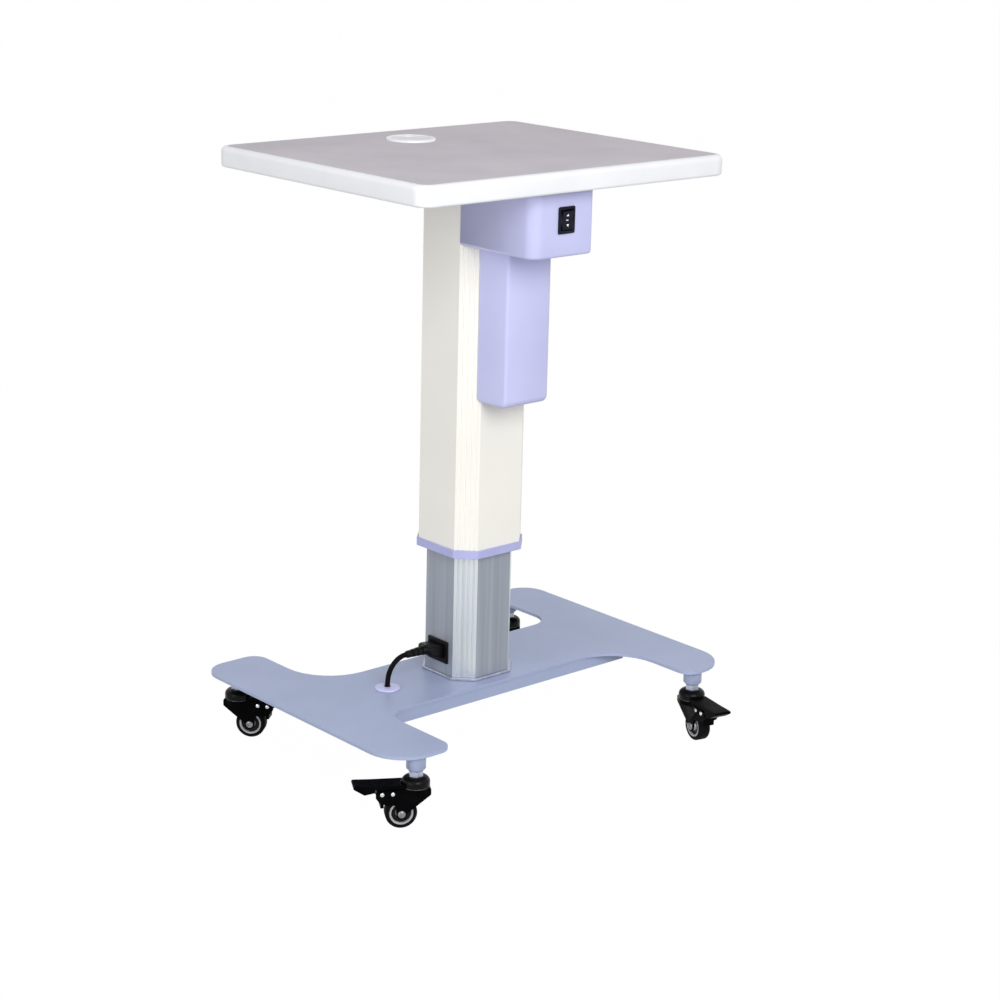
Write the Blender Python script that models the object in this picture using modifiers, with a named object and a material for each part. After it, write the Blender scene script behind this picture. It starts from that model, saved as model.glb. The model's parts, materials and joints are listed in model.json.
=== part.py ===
# Motorised instrument table on four braked casters.
# Metres, +Z up. Front is -Y, the side with the switch. The origin lies on the floor
# in the middle of the footprint, pedals included.

import math

import bmesh
import bpy
from mathutils import Matrix, Vector

# Clearances between neighbouring pieces
seat_gap = 0.0003
slide_gap = 0.0005
turn_gap = 0.0004

# Where the column's axis stands in the footprint
column_x = 0.0087
column_y = 0.0087

# Table top
table_height = 0.752
top_length = 0.480
top_depth = 0.396
top_thickness = 0.025
top_shift_y = 0.010
top_corner = 0.020
band_width = 0.008
band_upper_round = 0.0065
band_lower_round = 0.0035

# Cable grommet in the table top
cable_x = -0.005
cable_inset = 0.086
cable_flange_radius = 0.0315
cable_sleeve_radius = 0.027
cable_sleeve_wall = 0.0020
cable_sleeve_depth = 0.020
cable_flange_rise = 0.0028
cable_seat_depth = 0.0006
cable_ledge = 0.0022
cable_cap_thickness = 0.0050
cable_cap_drop = 0.0008
cable_flange_bevel = 0.00125
cap_dish_share = 0.72
cap_rim_share = 0.80

# Outer column, the part that rises
outer_half = 0.055
outer_chamfer = 0.0207
outer_wall = 0.0025
bracket_thickness = 0.0042
bracket_length = 0.190
bracket_rear = 0.088
bracket_corner = 0.012
bracket_hole_radius = 0.003
bracket_hole_inset = 0.014

# Collar at the foot of the outer column
collar_bottom = 0.2567
collar_height = 0.0105
collar_proud = 0.0023
collar_lip = 0.003

# Inner column, fixed to the base
inner_half = 0.0474
inner_chamfer = 0.0207
inner_wall = 0.0025
glide_room = 0.125
foot_thickness = 0.0033
foot_margin = 0.0035
foot_bore_margin = 0.0060
glide_height = 0.010
glide_lip = 0.0035

# Flutes along the chamfers of both columns
flute_count = 4
flute_width = 0.0022
flute_depth = 0.0008

# Base plate, an H seen from above, and the channel welded under its bar
plate_top = 0.093
plate_thickness = 0.004
base_half_length = 0.2778
base_shift_x = 0.0048
leg_front = 0.195
leg_rear = 0.198
left_leg_width = 0.0873
right_leg_width = 0.0776
bar_half_width = 0.065
tight_fillet = 0.030
wide_fillet = 0.065
inner_tip_round = 0.020
front_outer_round = 0.050
rear_outer_round = 0.033
beam_end_inset = 0.066
beam_inset = 0.0012
beam_height = 0.015
beam_wall = 0.0025

# Cord grommet in the base plate
lead_x = -0.130
lead_hole_radius = 0.0095
lead_flange_radius = 0.016
lead_flange_rise = 0.0026
lead_crown_share = 0.60
lead_shoulder_share = 0.88
lead_shoulder_rise = 0.0019
lead_edge_rise = 0.0005
lead_sleeve_depth = 0.010
lead_bore_gap = 0.0008

# Mains inlet on the inner column's left face, its plug and the lead
inlet_z = 0.1260
inlet_width = 0.038
inlet_height = 0.029
inlet_flange = 0.0024
inlet_body_width = 0.030
inlet_body_height = 0.022
inlet_body_depth = 0.026
inlet_wall = 0.0025
plug_depth = 0.016
plug_grip_length = 0.021
plug_neck_length = 0.030
plug_neck_radius = 0.0062
plug_tip_radius = 0.0044
plug_root_share = 0.25
plug_ring_count = 4
plug_ring_share = 0.70
plug_ring_taper = 0.96
plug_groove_share = 0.78
plug_round = 0.0022
plug_tail_round = 0.004
plug_nose_root = 0.002
plug_tip_z = 0.1305
lead_diameter = 0.0064

# Foot bracket, pin and rod of the lifting actuator
rod_radius = 0.011
rod_inset = 0.030
rod_tongue_half = 0.0065
rod_tongue_depth = 0.020
rod_tongue_round = 0.009
pin_height = 0.0225
pin_radius = 0.004
pin_head = 0.0018
pin_head_radius = 0.006
ear_thickness = 0.004
ear_depth = 0.024
ear_height = 0.034
ear_round = 0.0095
bracket_foot_half = 0.030
bracket_foot_thickness = 0.004
bracket_foot_round = 0.003
tube_wall = 0.004
tube_rise = 0.0153
tube_end_height = 0.004
rod_end_bevel = 0.001

# Gear case and motor
case_rise = 0.005
case_left = -0.030
case_right = 0.026
case_front = -0.104
case_rear = 0.024
case_step = -0.031
case_front_height = 0.045
case_edge_round = 0.0025
motor_radius = 0.0205
motor_x = -0.0033
motor_y = -0.0780
motor_length = 0.172
motor_neck = 0.0025
motor_neck_length = 0.010
motor_shoulder = 0.002
motor_band_top = 0.042
motor_band_bottom = 0.025
motor_band_proud = 0.001

# Control box
box_left = -0.0556
box_right = 0.0395
box_front = -0.163
box_height = 0.080
box_wall = 0.0025
box_near_round = 0.016
box_far_round = 0.005
box_edge_round = 0.0035
supply_length = 0.060
supply_depth = 0.024
supply_height = 0.042
supply_front = -0.138
supply_edge_round = 0.0015

# Motor cover below the box
cover_left = -0.038
cover_right = 0.0315
cover_front = -0.1024
cover_length = 0.191
cover_wall = 0.0022
cover_edge_round = 0.0035
cover_toe_round = 0.009

# Rocker switch in the front of the box
switch_x = -0.0048
switch_drop = 0.036
bezel_width = 0.0255
bezel_height = 0.032
bezel_thickness = 0.0022
bezel_corner = 0.002
switch_body_width = 0.0216
switch_body_height = 0.0276
switch_body_depth = 0.018
rocker_width = 0.0164
rocker_height = 0.0218
rocker_gap = 0.0011
rocker_rise = 0.0022
rocker_dip = 0.0007
rocker_pivot_depth = 0.0025
rocker_depth = 0.0065
rocker_back_share = 0.55
rocker_sweep_share = 1.2

# Casters: bosses on the base plate, stems and their caps
stem_inset_left = 0.043
stem_inset_right = 0.0526
stem_inset_front = 0.017
stem_inset_rear = 0.020
boss_radius = 0.0117
boss_drop = 0.0195
boss_taper = 0.003
stem_radius = 0.0050
stem_depth = 0.0165
stem_head_radius = 0.0075
stem_head_height = 0.0026
stem_head_share = 0.6
nut_radius = 0.0090
nut_height = 0.0065
head_radius = 0.0168
cap_crown_radius = 0.0092
cap_shoulder_radius = 0.0146
cap_shoulder_drop = 0.0024
cap_skirt = 0.0052

# Caster wheels
wheel_radius = 0.019
wheel_trail = 0.0175
tyre_width = 0.016
tyre_depth = 0.0055
tyre_shoulder = 0.003
tyre_knee_drop = 0.001
tyre_knee_inset = 0.0018
tyre_crown_half = 0.0036
hub_width = 0.0168
hub_boss_radius = 0.0062
hub_web_half = 0.0046
hub_draft = 0.0008
hub_rim_depth = 0.0028
hub_rim_drop = 0.0006
axle_radius = 0.003
axle_head_radius = 0.0046
axle_head_length = 0.0016

# Caster forks: a crown, and two cheeks that narrow to a tongue round the axle
fork_gap = 0.018
fork_wall = 0.002
fork_top = 0.0505
well_top = 0.0445
crown_skirt = 0.0085
tongue_half = 0.0062
tongue_round = 0.0055
tongue_shoulder = 0.0005
cheek_round = 0.003
cheek_neck_z = 0.0300
cheek_heel_trail = 0.0420
cheek_heel_z = 0.0325
cheek_reach = 0.0480
cheek_rear_low = 0.0400
cheek_rear_top = 0.0478
brow_trail = 0.0240
brow_drop = 0.0018
brow_round = 0.006
tie_trail = 0.0281
rivet_shank = 0.0015
rivet_radius = 0.0026
rivet_height = 0.0010

# Brake pedals: a cover over the fork, a tread behind it, and a web with a shoe between the cheeks
pedal_trail = 0.0406
pedal_z = 0.0445
cover_width = 0.0235
cover_gap = 0.0006
cover_crest = 0.0555
cover_cap_gap = 0.0012
tread_start = 0.0514
tread_crest_trail = 0.0732
tread_crest = 0.0560
tread_end = 0.0750
tread_end_z = 0.0535
tread_low_trail = 0.0615
tread_low = 0.0451
tread_heel_z = 0.0474
tread_round = 0.0015
web_width = 0.0166
web_front = 0.0345
web_front_low = 0.0415
web_rear = 0.0470
web_rear_low = 0.0430
shoe_gap = 0.0018
shoe_low = 0.0265
shoe_high = 0.0365
shoe_depth = 0.0040
shoe_round = 0.0008

# Caster headings seen from above, in degrees from +X towards +Y, by corner
caster_headings = {
    "front_left": 149.0,
    "front_right": -104.0,
    "rear_left": -50.0,
    "rear_right": 138.7,
}

# Sizes that follow from the ones above
top_underside = table_height - top_thickness
bracket_top = top_underside - seat_gap
bracket_bottom = bracket_top - bracket_thickness
outer_top = bracket_bottom - seat_gap
outer_bottom = collar_bottom + collar_lip + seat_gap
foot_bottom = plate_top + seat_gap
inner_bottom = foot_bottom + foot_thickness + seat_gap
plate_bottom = plate_top - plate_thickness
pin_z = foot_bottom + pin_height
box_bottom = top_underside - box_height
case_bottom = box_bottom + case_rise
cover_bottom = box_bottom - cover_length
switch_z = top_underside - switch_drop
inner_top = case_bottom - glide_room
rod_top = inner_top - rod_inset
tube_bottom = collar_bottom + tube_rise
cable_y = top_shift_y + top_depth / 2 - cable_inset
left_x = base_shift_x - base_half_length
right_x = base_shift_x + base_half_length
stem_front = stem_inset_front - leg_front
stem_rear = leg_rear - stem_inset_rear
fork_half = fork_gap / 2 + fork_wall

# Looks: colour, roughness and metallic value of each finish
looks = {
    "laminate": ((0.53, 0.51, 0.55, 1.0), 0.45, 0.0),
    "white_plastic": ((0.86, 0.86, 0.84, 1.0), 0.40, 0.0),
    "cream_paint": ((0.80, 0.78, 0.72, 1.0), 0.35, 0.0),
    "anodised_aluminium": ((0.52, 0.55, 0.60, 1.0), 0.35, 0.9),
    "lilac_plastic": ((0.53, 0.53, 0.82, 1.0), 0.42, 0.0),
    "base_paint": ((0.39, 0.43, 0.62, 1.0), 0.40, 0.0),
    "black_plastic": ((0.02, 0.02, 0.022, 1.0), 0.40, 0.0),
    "black_rubber": ((0.015, 0.015, 0.016, 1.0), 0.75, 0.0),
    "zinc_steel": ((0.62, 0.63, 0.66, 1.0), 0.32, 0.95),
    "black_steel": ((0.025, 0.025, 0.028, 1.0), 0.35, 0.3),
    "bright_steel": ((0.72, 0.73, 0.75, 1.0), 0.22, 1.0),
    "cast_aluminium": ((0.55, 0.56, 0.58, 1.0), 0.50, 0.8),
}


def clear_scene():
    for item in list(bpy.data.objects):
        bpy.data.objects.remove(item, do_unlink=True)


def new_collection(name):
    collection = bpy.data.collections.new(name)
    bpy.context.scene.collection.children.link(collection)
    return collection


clear_scene()
parts = new_collection("instrument_table")
tools = new_collection("cutters")


def finish(name):
    material = bpy.data.materials.get(name)
    if material is None:
        colour, roughness, metallic = looks[name]
        material = bpy.data.materials.new(name)
        material.use_nodes = True
        shader = material.node_tree.nodes["Principled BSDF"]
        shader.inputs["Base Color"].default_value = colour
        shader.inputs["Roughness"].default_value = roughness
        shader.inputs["Metallic"].default_value = metallic
        material.diffuse_color = colour
    return material


def empty(name, place, parent=None, heading=0.0):
    item = bpy.data.objects.new(name, None)
    parts.objects.link(item)
    item.location = place
    item.rotation_euler = (0.0, 0.0, heading)
    item.parent = parent
    return item


def add_piece(name, mesh, look, parent, place=(0.0, 0.0, 0.0), turn=(0.0, 0.0, 0.0)):
    piece = bpy.data.objects.new(name, mesh)
    if look is None:
        tools.objects.link(piece)
        piece.hide_render = True
        piece.display_type = "WIRE"
    else:
        parts.objects.link(piece)
        mesh.materials.clear()
        mesh.materials.append(finish(look))
    piece.parent = parent
    piece.location = place
    piece.rotation_euler = turn
    return piece


# Outlines and meshes

def rounded_outline(corners, steps=5):
    """Turns corners (x, y, radius) into points, with an arc at each corner."""
    points = []
    for index, (x, y, radius) in enumerate(corners):
        here = Vector((x, y))
        if radius <= 0.0:
            points.append((x, y))
            continue
        before = Vector(corners[index - 1][:2]) - here
        after = Vector(corners[(index + 1) % len(corners)][:2]) - here
        before.normalize()
        after.normalize()
        half_angle = before.angle(after) / 2
        reach = radius / math.tan(half_angle)
        middle = here + (before + after).normalized() * (radius / math.sin(half_angle))
        first = here + before * reach - middle
        last = here + after * reach - middle
        sweep = math.atan2(first.cross(last), first.dot(last))
        for step in range(steps + 1):
            angle = sweep * step / steps
            spoke = Matrix.Rotation(angle, 2) @ first
            points.append((middle.x + spoke.x, middle.y + spoke.y))
    return points


def rectangle(left, right, front, rear, radius=0.0, steps=6):
    corners = [(left, front, radius), (right, front, radius), (right, rear, radius), (left, rear, radius)]
    return rounded_outline(corners, steps)


def octagon(half, chamfer):
    side = half - chamfer
    points = []
    for quarter in range(4):
        turn = Matrix.Rotation(math.radians(90 * quarter), 2)
        for x, y in ((half, -side), (half, side)):
            spot = turn @ Vector((x, y))
            points.append((spot.x, spot.y))
    return points


def fluted_octagon(half, chamfer):
    """Square with chamfers, each chamfer cut by evenly spaced flutes."""
    side = half - chamfer
    points = []
    for quarter in range(4):
        turn = Matrix.Rotation(math.radians(90 * quarter), 2)
        start = Vector((half, side))
        end = Vector((side, half))
        along = (end - start).normalized()
        inward = Vector((-1.0, -1.0)).normalized()
        run = (end - start).length
        pitch = run / (flute_count + 0.5)
        corner = [start]
        for flute in range(flute_count):
            middle = start + along * pitch * (flute + 0.75)
            corner.append(middle - along * flute_width / 2)
            corner.append(middle - along * flute_width / 4 + inward * flute_depth)
            corner.append(middle + along * flute_width / 4 + inward * flute_depth)
            corner.append(middle + along * flute_width / 2)
        corner.append(end)
        for spot in corner:
            turned = turn @ spot
            points.append((turned.x, turned.y))
    return points


def grown(half, chamfer, margin):
    """Half width and chamfer of a chamfered square whose every side moves out by a margin."""
    return half + margin, chamfer + margin * (2 - math.sqrt(2))


def flat_mesh(name, outlines, low, high):
    """Flat sheet of the given outlines, the first one solid and the others holes."""
    curve = bpy.data.curves.new(name, "CURVE")
    curve.dimensions = "2D"
    curve.fill_mode = "BOTH"
    curve.extrude = (high - low) / 2
    for outline in outlines:
        spline = curve.splines.new("POLY")
        spline.points.add(len(outline) - 1)
        spline.use_cyclic_u = True
        for point, (x, y) in zip(spline.points, outline):
            point.co = (x, y, 0.0, 1.0)
    return mesh_of_curve(curve, Matrix.Translation((0.0, 0.0, (high + low) / 2)))


def mesh_of_curve(curve, place):
    guide = bpy.data.objects.new(curve.name, curve)
    bpy.context.scene.collection.objects.link(guide)
    shape = guide.evaluated_get(bpy.context.evaluated_depsgraph_get())
    mesh = bpy.data.meshes.new_from_object(shape)
    bpy.data.objects.remove(guide, do_unlink=True)
    bpy.data.curves.remove(curve)
    work = bmesh.new()
    work.from_mesh(mesh)
    bmesh.ops.remove_doubles(work, verts=work.verts, dist=0.000005)
    bmesh.ops.dissolve_limit(work, angle_limit=math.radians(0.5), verts=work.verts, edges=work.edges)
    bmesh.ops.recalc_face_normals(work, faces=work.faces)
    bmesh.ops.transform(work, matrix=place, verts=work.verts)
    work.to_mesh(mesh)
    work.free()
    return mesh


def block_mesh(name, low, high):
    """Box between two opposite corners."""
    mesh = bpy.data.meshes.new(name)
    work = bmesh.new()
    bmesh.ops.create_cube(work, size=1.0)
    size = Vector(high) - Vector(low)
    middle = (Vector(high) + Vector(low)) / 2
    bmesh.ops.scale(work, vec=size, verts=work.verts)
    bmesh.ops.translate(work, vec=middle, verts=work.verts)
    work.to_mesh(mesh)
    work.free()
    return mesh


def rod_mesh(name, radius, low, high, axis="Z", sides=24, centre=(0.0, 0.0)):
    """Cylinder along an axis between two places on it; centre holds its other two coordinates."""
    mesh = bpy.data.meshes.new(name)
    work = bmesh.new()
    bmesh.ops.create_cone(
        work, cap_ends=True, segments=sides, radius1=radius, radius2=radius, depth=high - low)
    middle = (high + low) / 2
    if axis == "X":
        turn = Matrix.Rotation(math.radians(90), 4, "Y")
        place = Matrix.Translation((middle, centre[0], centre[1]))
    elif axis == "Y":
        turn = Matrix.Rotation(math.radians(90), 4, "X")
        place = Matrix.Translation((centre[0], middle, centre[1]))
    else:
        turn = Matrix.Identity(4)
        place = Matrix.Translation((centre[0], centre[1], middle))
    bmesh.ops.transform(work, matrix=place @ turn, verts=work.verts)
    work.to_mesh(mesh)
    work.free()
    mesh.shade_smooth()
    mesh.set_sharp_from_angle(angle=math.radians(35))
    return mesh


def turned(name, profile, look, parent, place=(0.0, 0.0, 0.0), turn=(0.0, 0.0, 0.0), steps=24, ring=False):
    """Profile (radius, height) turned about Z, listed down its outer side."""
    mesh = bpy.data.meshes.new(name)
    work = bmesh.new()
    spots = [work.verts.new((radius, 0.0, height)) for radius, height in profile]
    for first, second in zip(spots, spots[1:]):
        work.edges.new((first, second))
    if ring:
        work.edges.new((spots[-1], spots[0]))
    work.to_mesh(mesh)
    work.free()
    piece = add_piece(name, mesh, look, parent, place, turn)
    screw = piece.modifiers.new("turn", "SCREW")
    screw.steps = steps
    screw.render_steps = steps
    screw.use_merge_vertices = True
    screw.merge_threshold = 0.00001
    screw.use_smooth_shade = False
    return piece


def along_y(mesh):
    """Stands a flat mesh up, so that its outline's second axis is Z and its thickness runs along Y."""
    mesh.transform(Matrix.Rotation(math.radians(90), 4, "X"))
    return mesh


def along_x(mesh):
    """Stands a flat mesh up, so that its outline is (y, z) and its thickness runs along X."""
    mesh.transform(Matrix(((0, 0, 1, 0), (1, 0, 0, 0), (0, 1, 0, 0), (0, 0, 0, 1))))
    return mesh


def combine(piece, tool, operation):
    change = piece.modifiers.new(operation.lower(), "BOOLEAN")
    change.operation = operation
    change.object = tool
    return piece


def cut(piece, tool):
    return combine(piece, tool, "DIFFERENCE")


def join(piece, tool):
    return combine(piece, tool, "UNION")


def soften(piece, width, segments=2, angle=40):
    bevel = piece.modifiers.new("soften", "BEVEL")
    bevel.width = width
    bevel.segments = segments
    bevel.limit_method = "ANGLE"
    bevel.angle_limit = math.radians(angle)
    return bevel


def open_faces(mesh, directions):
    """Removes the faces that look in the given directions, which leaves an open skin."""
    work = bmesh.new()
    work.from_mesh(mesh)
    doomed = [face for face in work.faces if any(face.normal.dot(Vector(way)) > 0.99 for way in directions)]
    bmesh.ops.delete(work, geom=doomed, context="FACES")
    work.to_mesh(mesh)
    work.free()


frame_origin = empty("column_axis", (column_x, column_y, 0.0))
lift = empty("lift", (0.0, 0.0, 0.0), frame_origin)


# Base

def base_outline():
    left_in = left_x + left_leg_width
    right_in = right_x - right_leg_width
    bar = bar_half_width
    return rounded_outline([
        (left_x, -leg_front, front_outer_round),
        (left_in, -leg_front, inner_tip_round),
        (left_in, -bar, tight_fillet),
        (right_in, -bar, wide_fillet),
        (right_in, -leg_front, inner_tip_round),
        (right_x, -leg_front, front_outer_round),
        (right_x, leg_rear, rear_outer_round),
        (right_in, leg_rear, inner_tip_round),
        (right_in, bar, tight_fillet),
        (left_in, bar, wide_fillet),
        (left_in, leg_rear, inner_tip_round),
        (left_x, leg_rear, rear_outer_round),
    ], 8)


def circle(radius, centre=(0.0, 0.0), sides=24):
    return [(centre[0] + radius * math.cos(2 * math.pi * side / sides),
             centre[1] + radius * math.sin(2 * math.pi * side / sides)) for side in range(sides)]


def caster_corners():
    """Name, place and heading of each caster."""
    for name, heading in caster_headings.items():
        x = right_x - stem_inset_right if "right" in name else left_x + stem_inset_left
        y = stem_rear if "rear" in name else stem_front
        yield name, (x, y, 0.0), math.radians(heading)


def build_base():
    hole = circle(lead_hole_radius, (lead_x, 0.0))
    plate = flat_mesh("base_plate", [base_outline(), hole], plate_bottom, plate_top)
    base = add_piece("base_plate", plate, "base_paint", frame_origin)
    boss_bottom = plate_bottom - boss_drop
    boss_profile = [
        (0.0, plate_bottom + plate_thickness / 2),
        (boss_radius, plate_bottom + plate_thickness / 2),
        (boss_radius, boss_bottom + boss_taper),
        (boss_radius - boss_taper, boss_bottom),
        (0.0, boss_bottom),
    ]
    for corner, place, heading in caster_corners():
        boss = turned("boss_" + corner, boss_profile, None, frame_origin, place, steps=16)
        join(base, boss)
    bore_top = boss_bottom + stem_depth + seat_gap
    for corner, place, heading in caster_corners():
        bore = rod_mesh(
            "bore_" + corner, stem_radius + seat_gap, boss_bottom - boss_taper, bore_top, sides=12)
        cut(base, add_piece("bore_" + corner, bore, None, frame_origin, place))
    beam_top = plate_bottom - seat_gap
    beam_width = bar_half_width - beam_inset
    channel = block_mesh(
        "cross_beam", (left_x + beam_end_inset, -beam_width, beam_top - beam_height),
        (right_x - beam_end_inset, beam_width, beam_top))
    open_faces(channel, [(0, 0, -1)])
    beam = add_piece("cross_beam", channel, "base_paint", frame_origin)
    wall = beam.modifiers.new("wall", "SOLIDIFY")
    wall.thickness = beam_wall
    wall.offset = -1.0
    wall.use_even_offset = True
    lead_cut = rod_mesh(
        "lead_cut", lead_hole_radius, beam_top - 2 * beam_wall, plate_top, centre=(lead_x, 0.0))
    cut(beam, add_piece("lead_cut", lead_cut, None, frame_origin))


def build_lead_grommet():
    outer = lead_hole_radius - seat_gap
    bore = lead_diameter / 2 + lead_bore_gap
    low = plate_top + seat_gap
    turned("cord_grommet", [
        (bore, low + lead_flange_rise),
        (lead_flange_radius * lead_crown_share, low + lead_flange_rise),
        (lead_flange_radius * lead_shoulder_share, low + lead_shoulder_rise),
        (lead_flange_radius, low + lead_edge_rise),
        (lead_flange_radius, low),
        (outer, low),
        (outer, low - lead_sleeve_depth),
        (bore, low - lead_sleeve_depth),
    ], "lilac_plastic", frame_origin, (lead_x, 0.0, 0.0), steps=24, ring=True)


# Columns

def tube(name, half, chamfer, wall, low, high, look, parent):
    inside = grown(half, chamfer, -wall)
    mesh = flat_mesh(name, [fluted_octagon(half, chamfer), octagon(*inside)], low, high)
    return add_piece(name, mesh, look, parent)


def build_inner_column():
    foot_out = grown(inner_half, inner_chamfer, foot_margin)
    foot_in = grown(inner_half, inner_chamfer, -foot_bore_margin)
    foot = flat_mesh("column_foot", [octagon(*foot_out), octagon(*foot_in)],
                     foot_bottom, foot_bottom + foot_thickness)
    soften(add_piece("column_foot", foot, "zinc_steel", frame_origin), foot_thickness / 4, 1)
    column = tube("inner_column", inner_half, inner_chamfer, inner_wall, inner_bottom, inner_top,
                  "anodised_aluminium", frame_origin)
    reach_y = inlet_body_width / 2 + seat_gap
    reach_z = inlet_body_height / 2 + seat_gap
    window = block_mesh("inlet_window", (-inner_half - inner_wall, -reach_y, inlet_z - reach_z),
                        (-inner_half + 2 * inner_wall, reach_y, inlet_z + reach_z))
    cut(column, add_piece("inlet_window", window, None, frame_origin))
    glide_out = grown(outer_half, outer_chamfer, -outer_wall - slide_gap)
    glide_in = grown(inner_half, inner_chamfer, -inner_wall - glide_lip)
    low = inner_top + seat_gap
    glide = flat_mesh("upper_glide", [octagon(*glide_out), octagon(*glide_in)], low, low + glide_height)
    soften(add_piece("upper_glide", glide, "white_plastic", frame_origin), glide_lip / 5, 1)


def column_cutter(name, low, high):
    """Prism a seat gap larger than the outer column, for pieces that fit against it."""
    around = grown(outer_half, outer_chamfer, seat_gap)
    return add_piece(name, flat_mesh(name, [octagon(*around)], low, high), None, lift)


def build_outer_column():
    column = tube("outer_column", outer_half, outer_chamfer, outer_wall, outer_bottom, outer_top,
                  "cream_paint", lift)
    slot = block_mesh(
        "case_slot", (case_left - seat_gap, -outer_half - outer_wall, case_bottom - seat_gap),
        (case_right + seat_gap, -outer_half + 2 * outer_wall, table_height))
    cut(column, add_piece("case_slot", slot, None, lift))
    skirt_out = grown(outer_half, outer_chamfer, collar_proud)
    skirt_in = grown(outer_half, outer_chamfer, seat_gap)
    lip_in = grown(inner_half, inner_chamfer, slide_gap)
    middle = collar_bottom + collar_lip
    collar_mesh = flat_mesh("collar", [octagon(*skirt_out), octagon(*skirt_in)],
                            collar_bottom, collar_bottom + collar_height)
    collar = add_piece("collar", collar_mesh, "lilac_plastic", lift)
    overlap_out = grown(outer_half, outer_chamfer, collar_proud / 2)
    lip = flat_mesh("collar_lip", [octagon(*overlap_out), octagon(*lip_in)], collar_bottom, middle)
    join(collar, add_piece("collar_lip", lip, None, lift))
    bracket = bracket_outline()
    plate = flat_mesh("top_bracket", [bracket] + bracket_holes(), bracket_bottom, bracket_top)
    add_piece("top_bracket", plate, "zinc_steel", lift)


def bracket_outline():
    front = -outer_half + outer_chamfer + 3 * seat_gap
    half = bracket_length / 2
    return rectangle(-half, half, front, bracket_rear, bracket_corner)


def bracket_holes():
    front = -outer_half + outer_chamfer + bracket_hole_inset
    rear = bracket_rear - bracket_hole_inset
    side = bracket_length / 2 - bracket_hole_inset
    return [circle(bracket_hole_radius, (x, y), 16) for x in (-side, side) for y in (front, rear)]


# Table top

def band_profile():
    """The band's section as (inset from the rim, height), round above and below."""
    profile = [(band_width, table_height)]
    for radius, middle, side in ((band_upper_round, table_height - band_upper_round, 1),
                                 (band_lower_round, top_underside + band_lower_round, -1)):
        turns = [math.radians(angle) for angle in (0, 30, 60, 90)]
        arc = [(radius - radius * math.sin(turn), middle + side * radius * math.cos(turn)) for turn in turns]
        profile += arc if side > 0 else arc[::-1]
    return profile + [(band_width, top_underside)]


def ringed_mesh(name, rows):
    """Closed ring through rows of points, each row a loop and the last row next to the first."""
    mesh = bpy.data.meshes.new(name)
    work = bmesh.new()
    loops = [[work.verts.new(point) for point in row] for row in rows]
    for row, after in zip(loops, loops[1:] + loops[:1]):
        for side in range(len(row)):
            work.faces.new((row[side - 1], row[side], after[side], after[side - 1]))
    bmesh.ops.recalc_face_normals(work, faces=work.faces)
    work.to_mesh(mesh)
    work.free()
    return mesh


def top_outline(inset, corner_inset):
    """The table top's outline, drawn in from the rim."""
    half_x = top_length / 2 - inset
    half_y = top_depth / 2 - inset
    return rectangle(-half_x, half_x, top_shift_y - half_y, top_shift_y + half_y, top_corner - corner_inset)


def build_top():
    rows = [[(x, y, height) for x, y in top_outline(inset, inset)] for inset, height in band_profile()]
    add_piece("edge_band", ringed_mesh("edge_band", rows), "white_plastic", lift)
    hole = circle(cable_sleeve_radius + seat_gap, (cable_x, cable_y), 32)
    outline = top_outline(band_width + seat_gap, band_width)
    mesh = flat_mesh("table_board", [outline, hole], top_underside, table_height)
    board = add_piece("table_board", mesh, "laminate", lift)
    seat = rod_mesh("cable_seat", cable_flange_radius + seat_gap, table_height - cable_seat_depth,
                    table_height + cable_seat_depth, sides=32, centre=(cable_x, cable_y))
    cut(board, add_piece("cable_seat", seat, None, lift))


def build_cable_grommet():
    sleeve = cable_sleeve_radius
    bore = sleeve - cable_sleeve_wall
    rise = cable_flange_rise
    cap_top = rise - cable_cap_drop
    ledge_top = cap_top - cable_cap_thickness - seat_gap
    seat = seat_gap - cable_seat_depth
    turned("grommet_ring", [
        (bore, rise),
        (cable_flange_radius - cable_flange_bevel, rise),
        (cable_flange_radius, rise - cable_flange_bevel),
        (cable_flange_radius, seat),
        (sleeve, seat),
        (sleeve, -cable_sleeve_depth),
        (bore, -cable_sleeve_depth),
        (bore, ledge_top - cable_ledge),
        (bore - cable_ledge, ledge_top - cable_ledge / 2),
        (bore - cable_ledge, ledge_top),
        (bore, ledge_top),
    ], "white_plastic", lift, (cable_x, cable_y, table_height), steps=28, ring=True)
    cap_radius = bore - seat_gap
    turned("grommet_cap", [
        (0.0, cap_top - cable_cap_drop),
        (cap_radius * cap_dish_share, cap_top - cable_cap_drop),
        (cap_radius * cap_rim_share, cap_top),
        (cap_radius - cable_cap_drop, cap_top),
        (cap_radius, cap_top - cable_cap_drop),
        (cap_radius, cap_top - cable_cap_thickness),
        (0.0, cap_top - cable_cap_thickness),
    ], "white_plastic", lift, (cable_x, cable_y, table_height), steps=28)


# Control box, motor cover and what they hold

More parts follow.
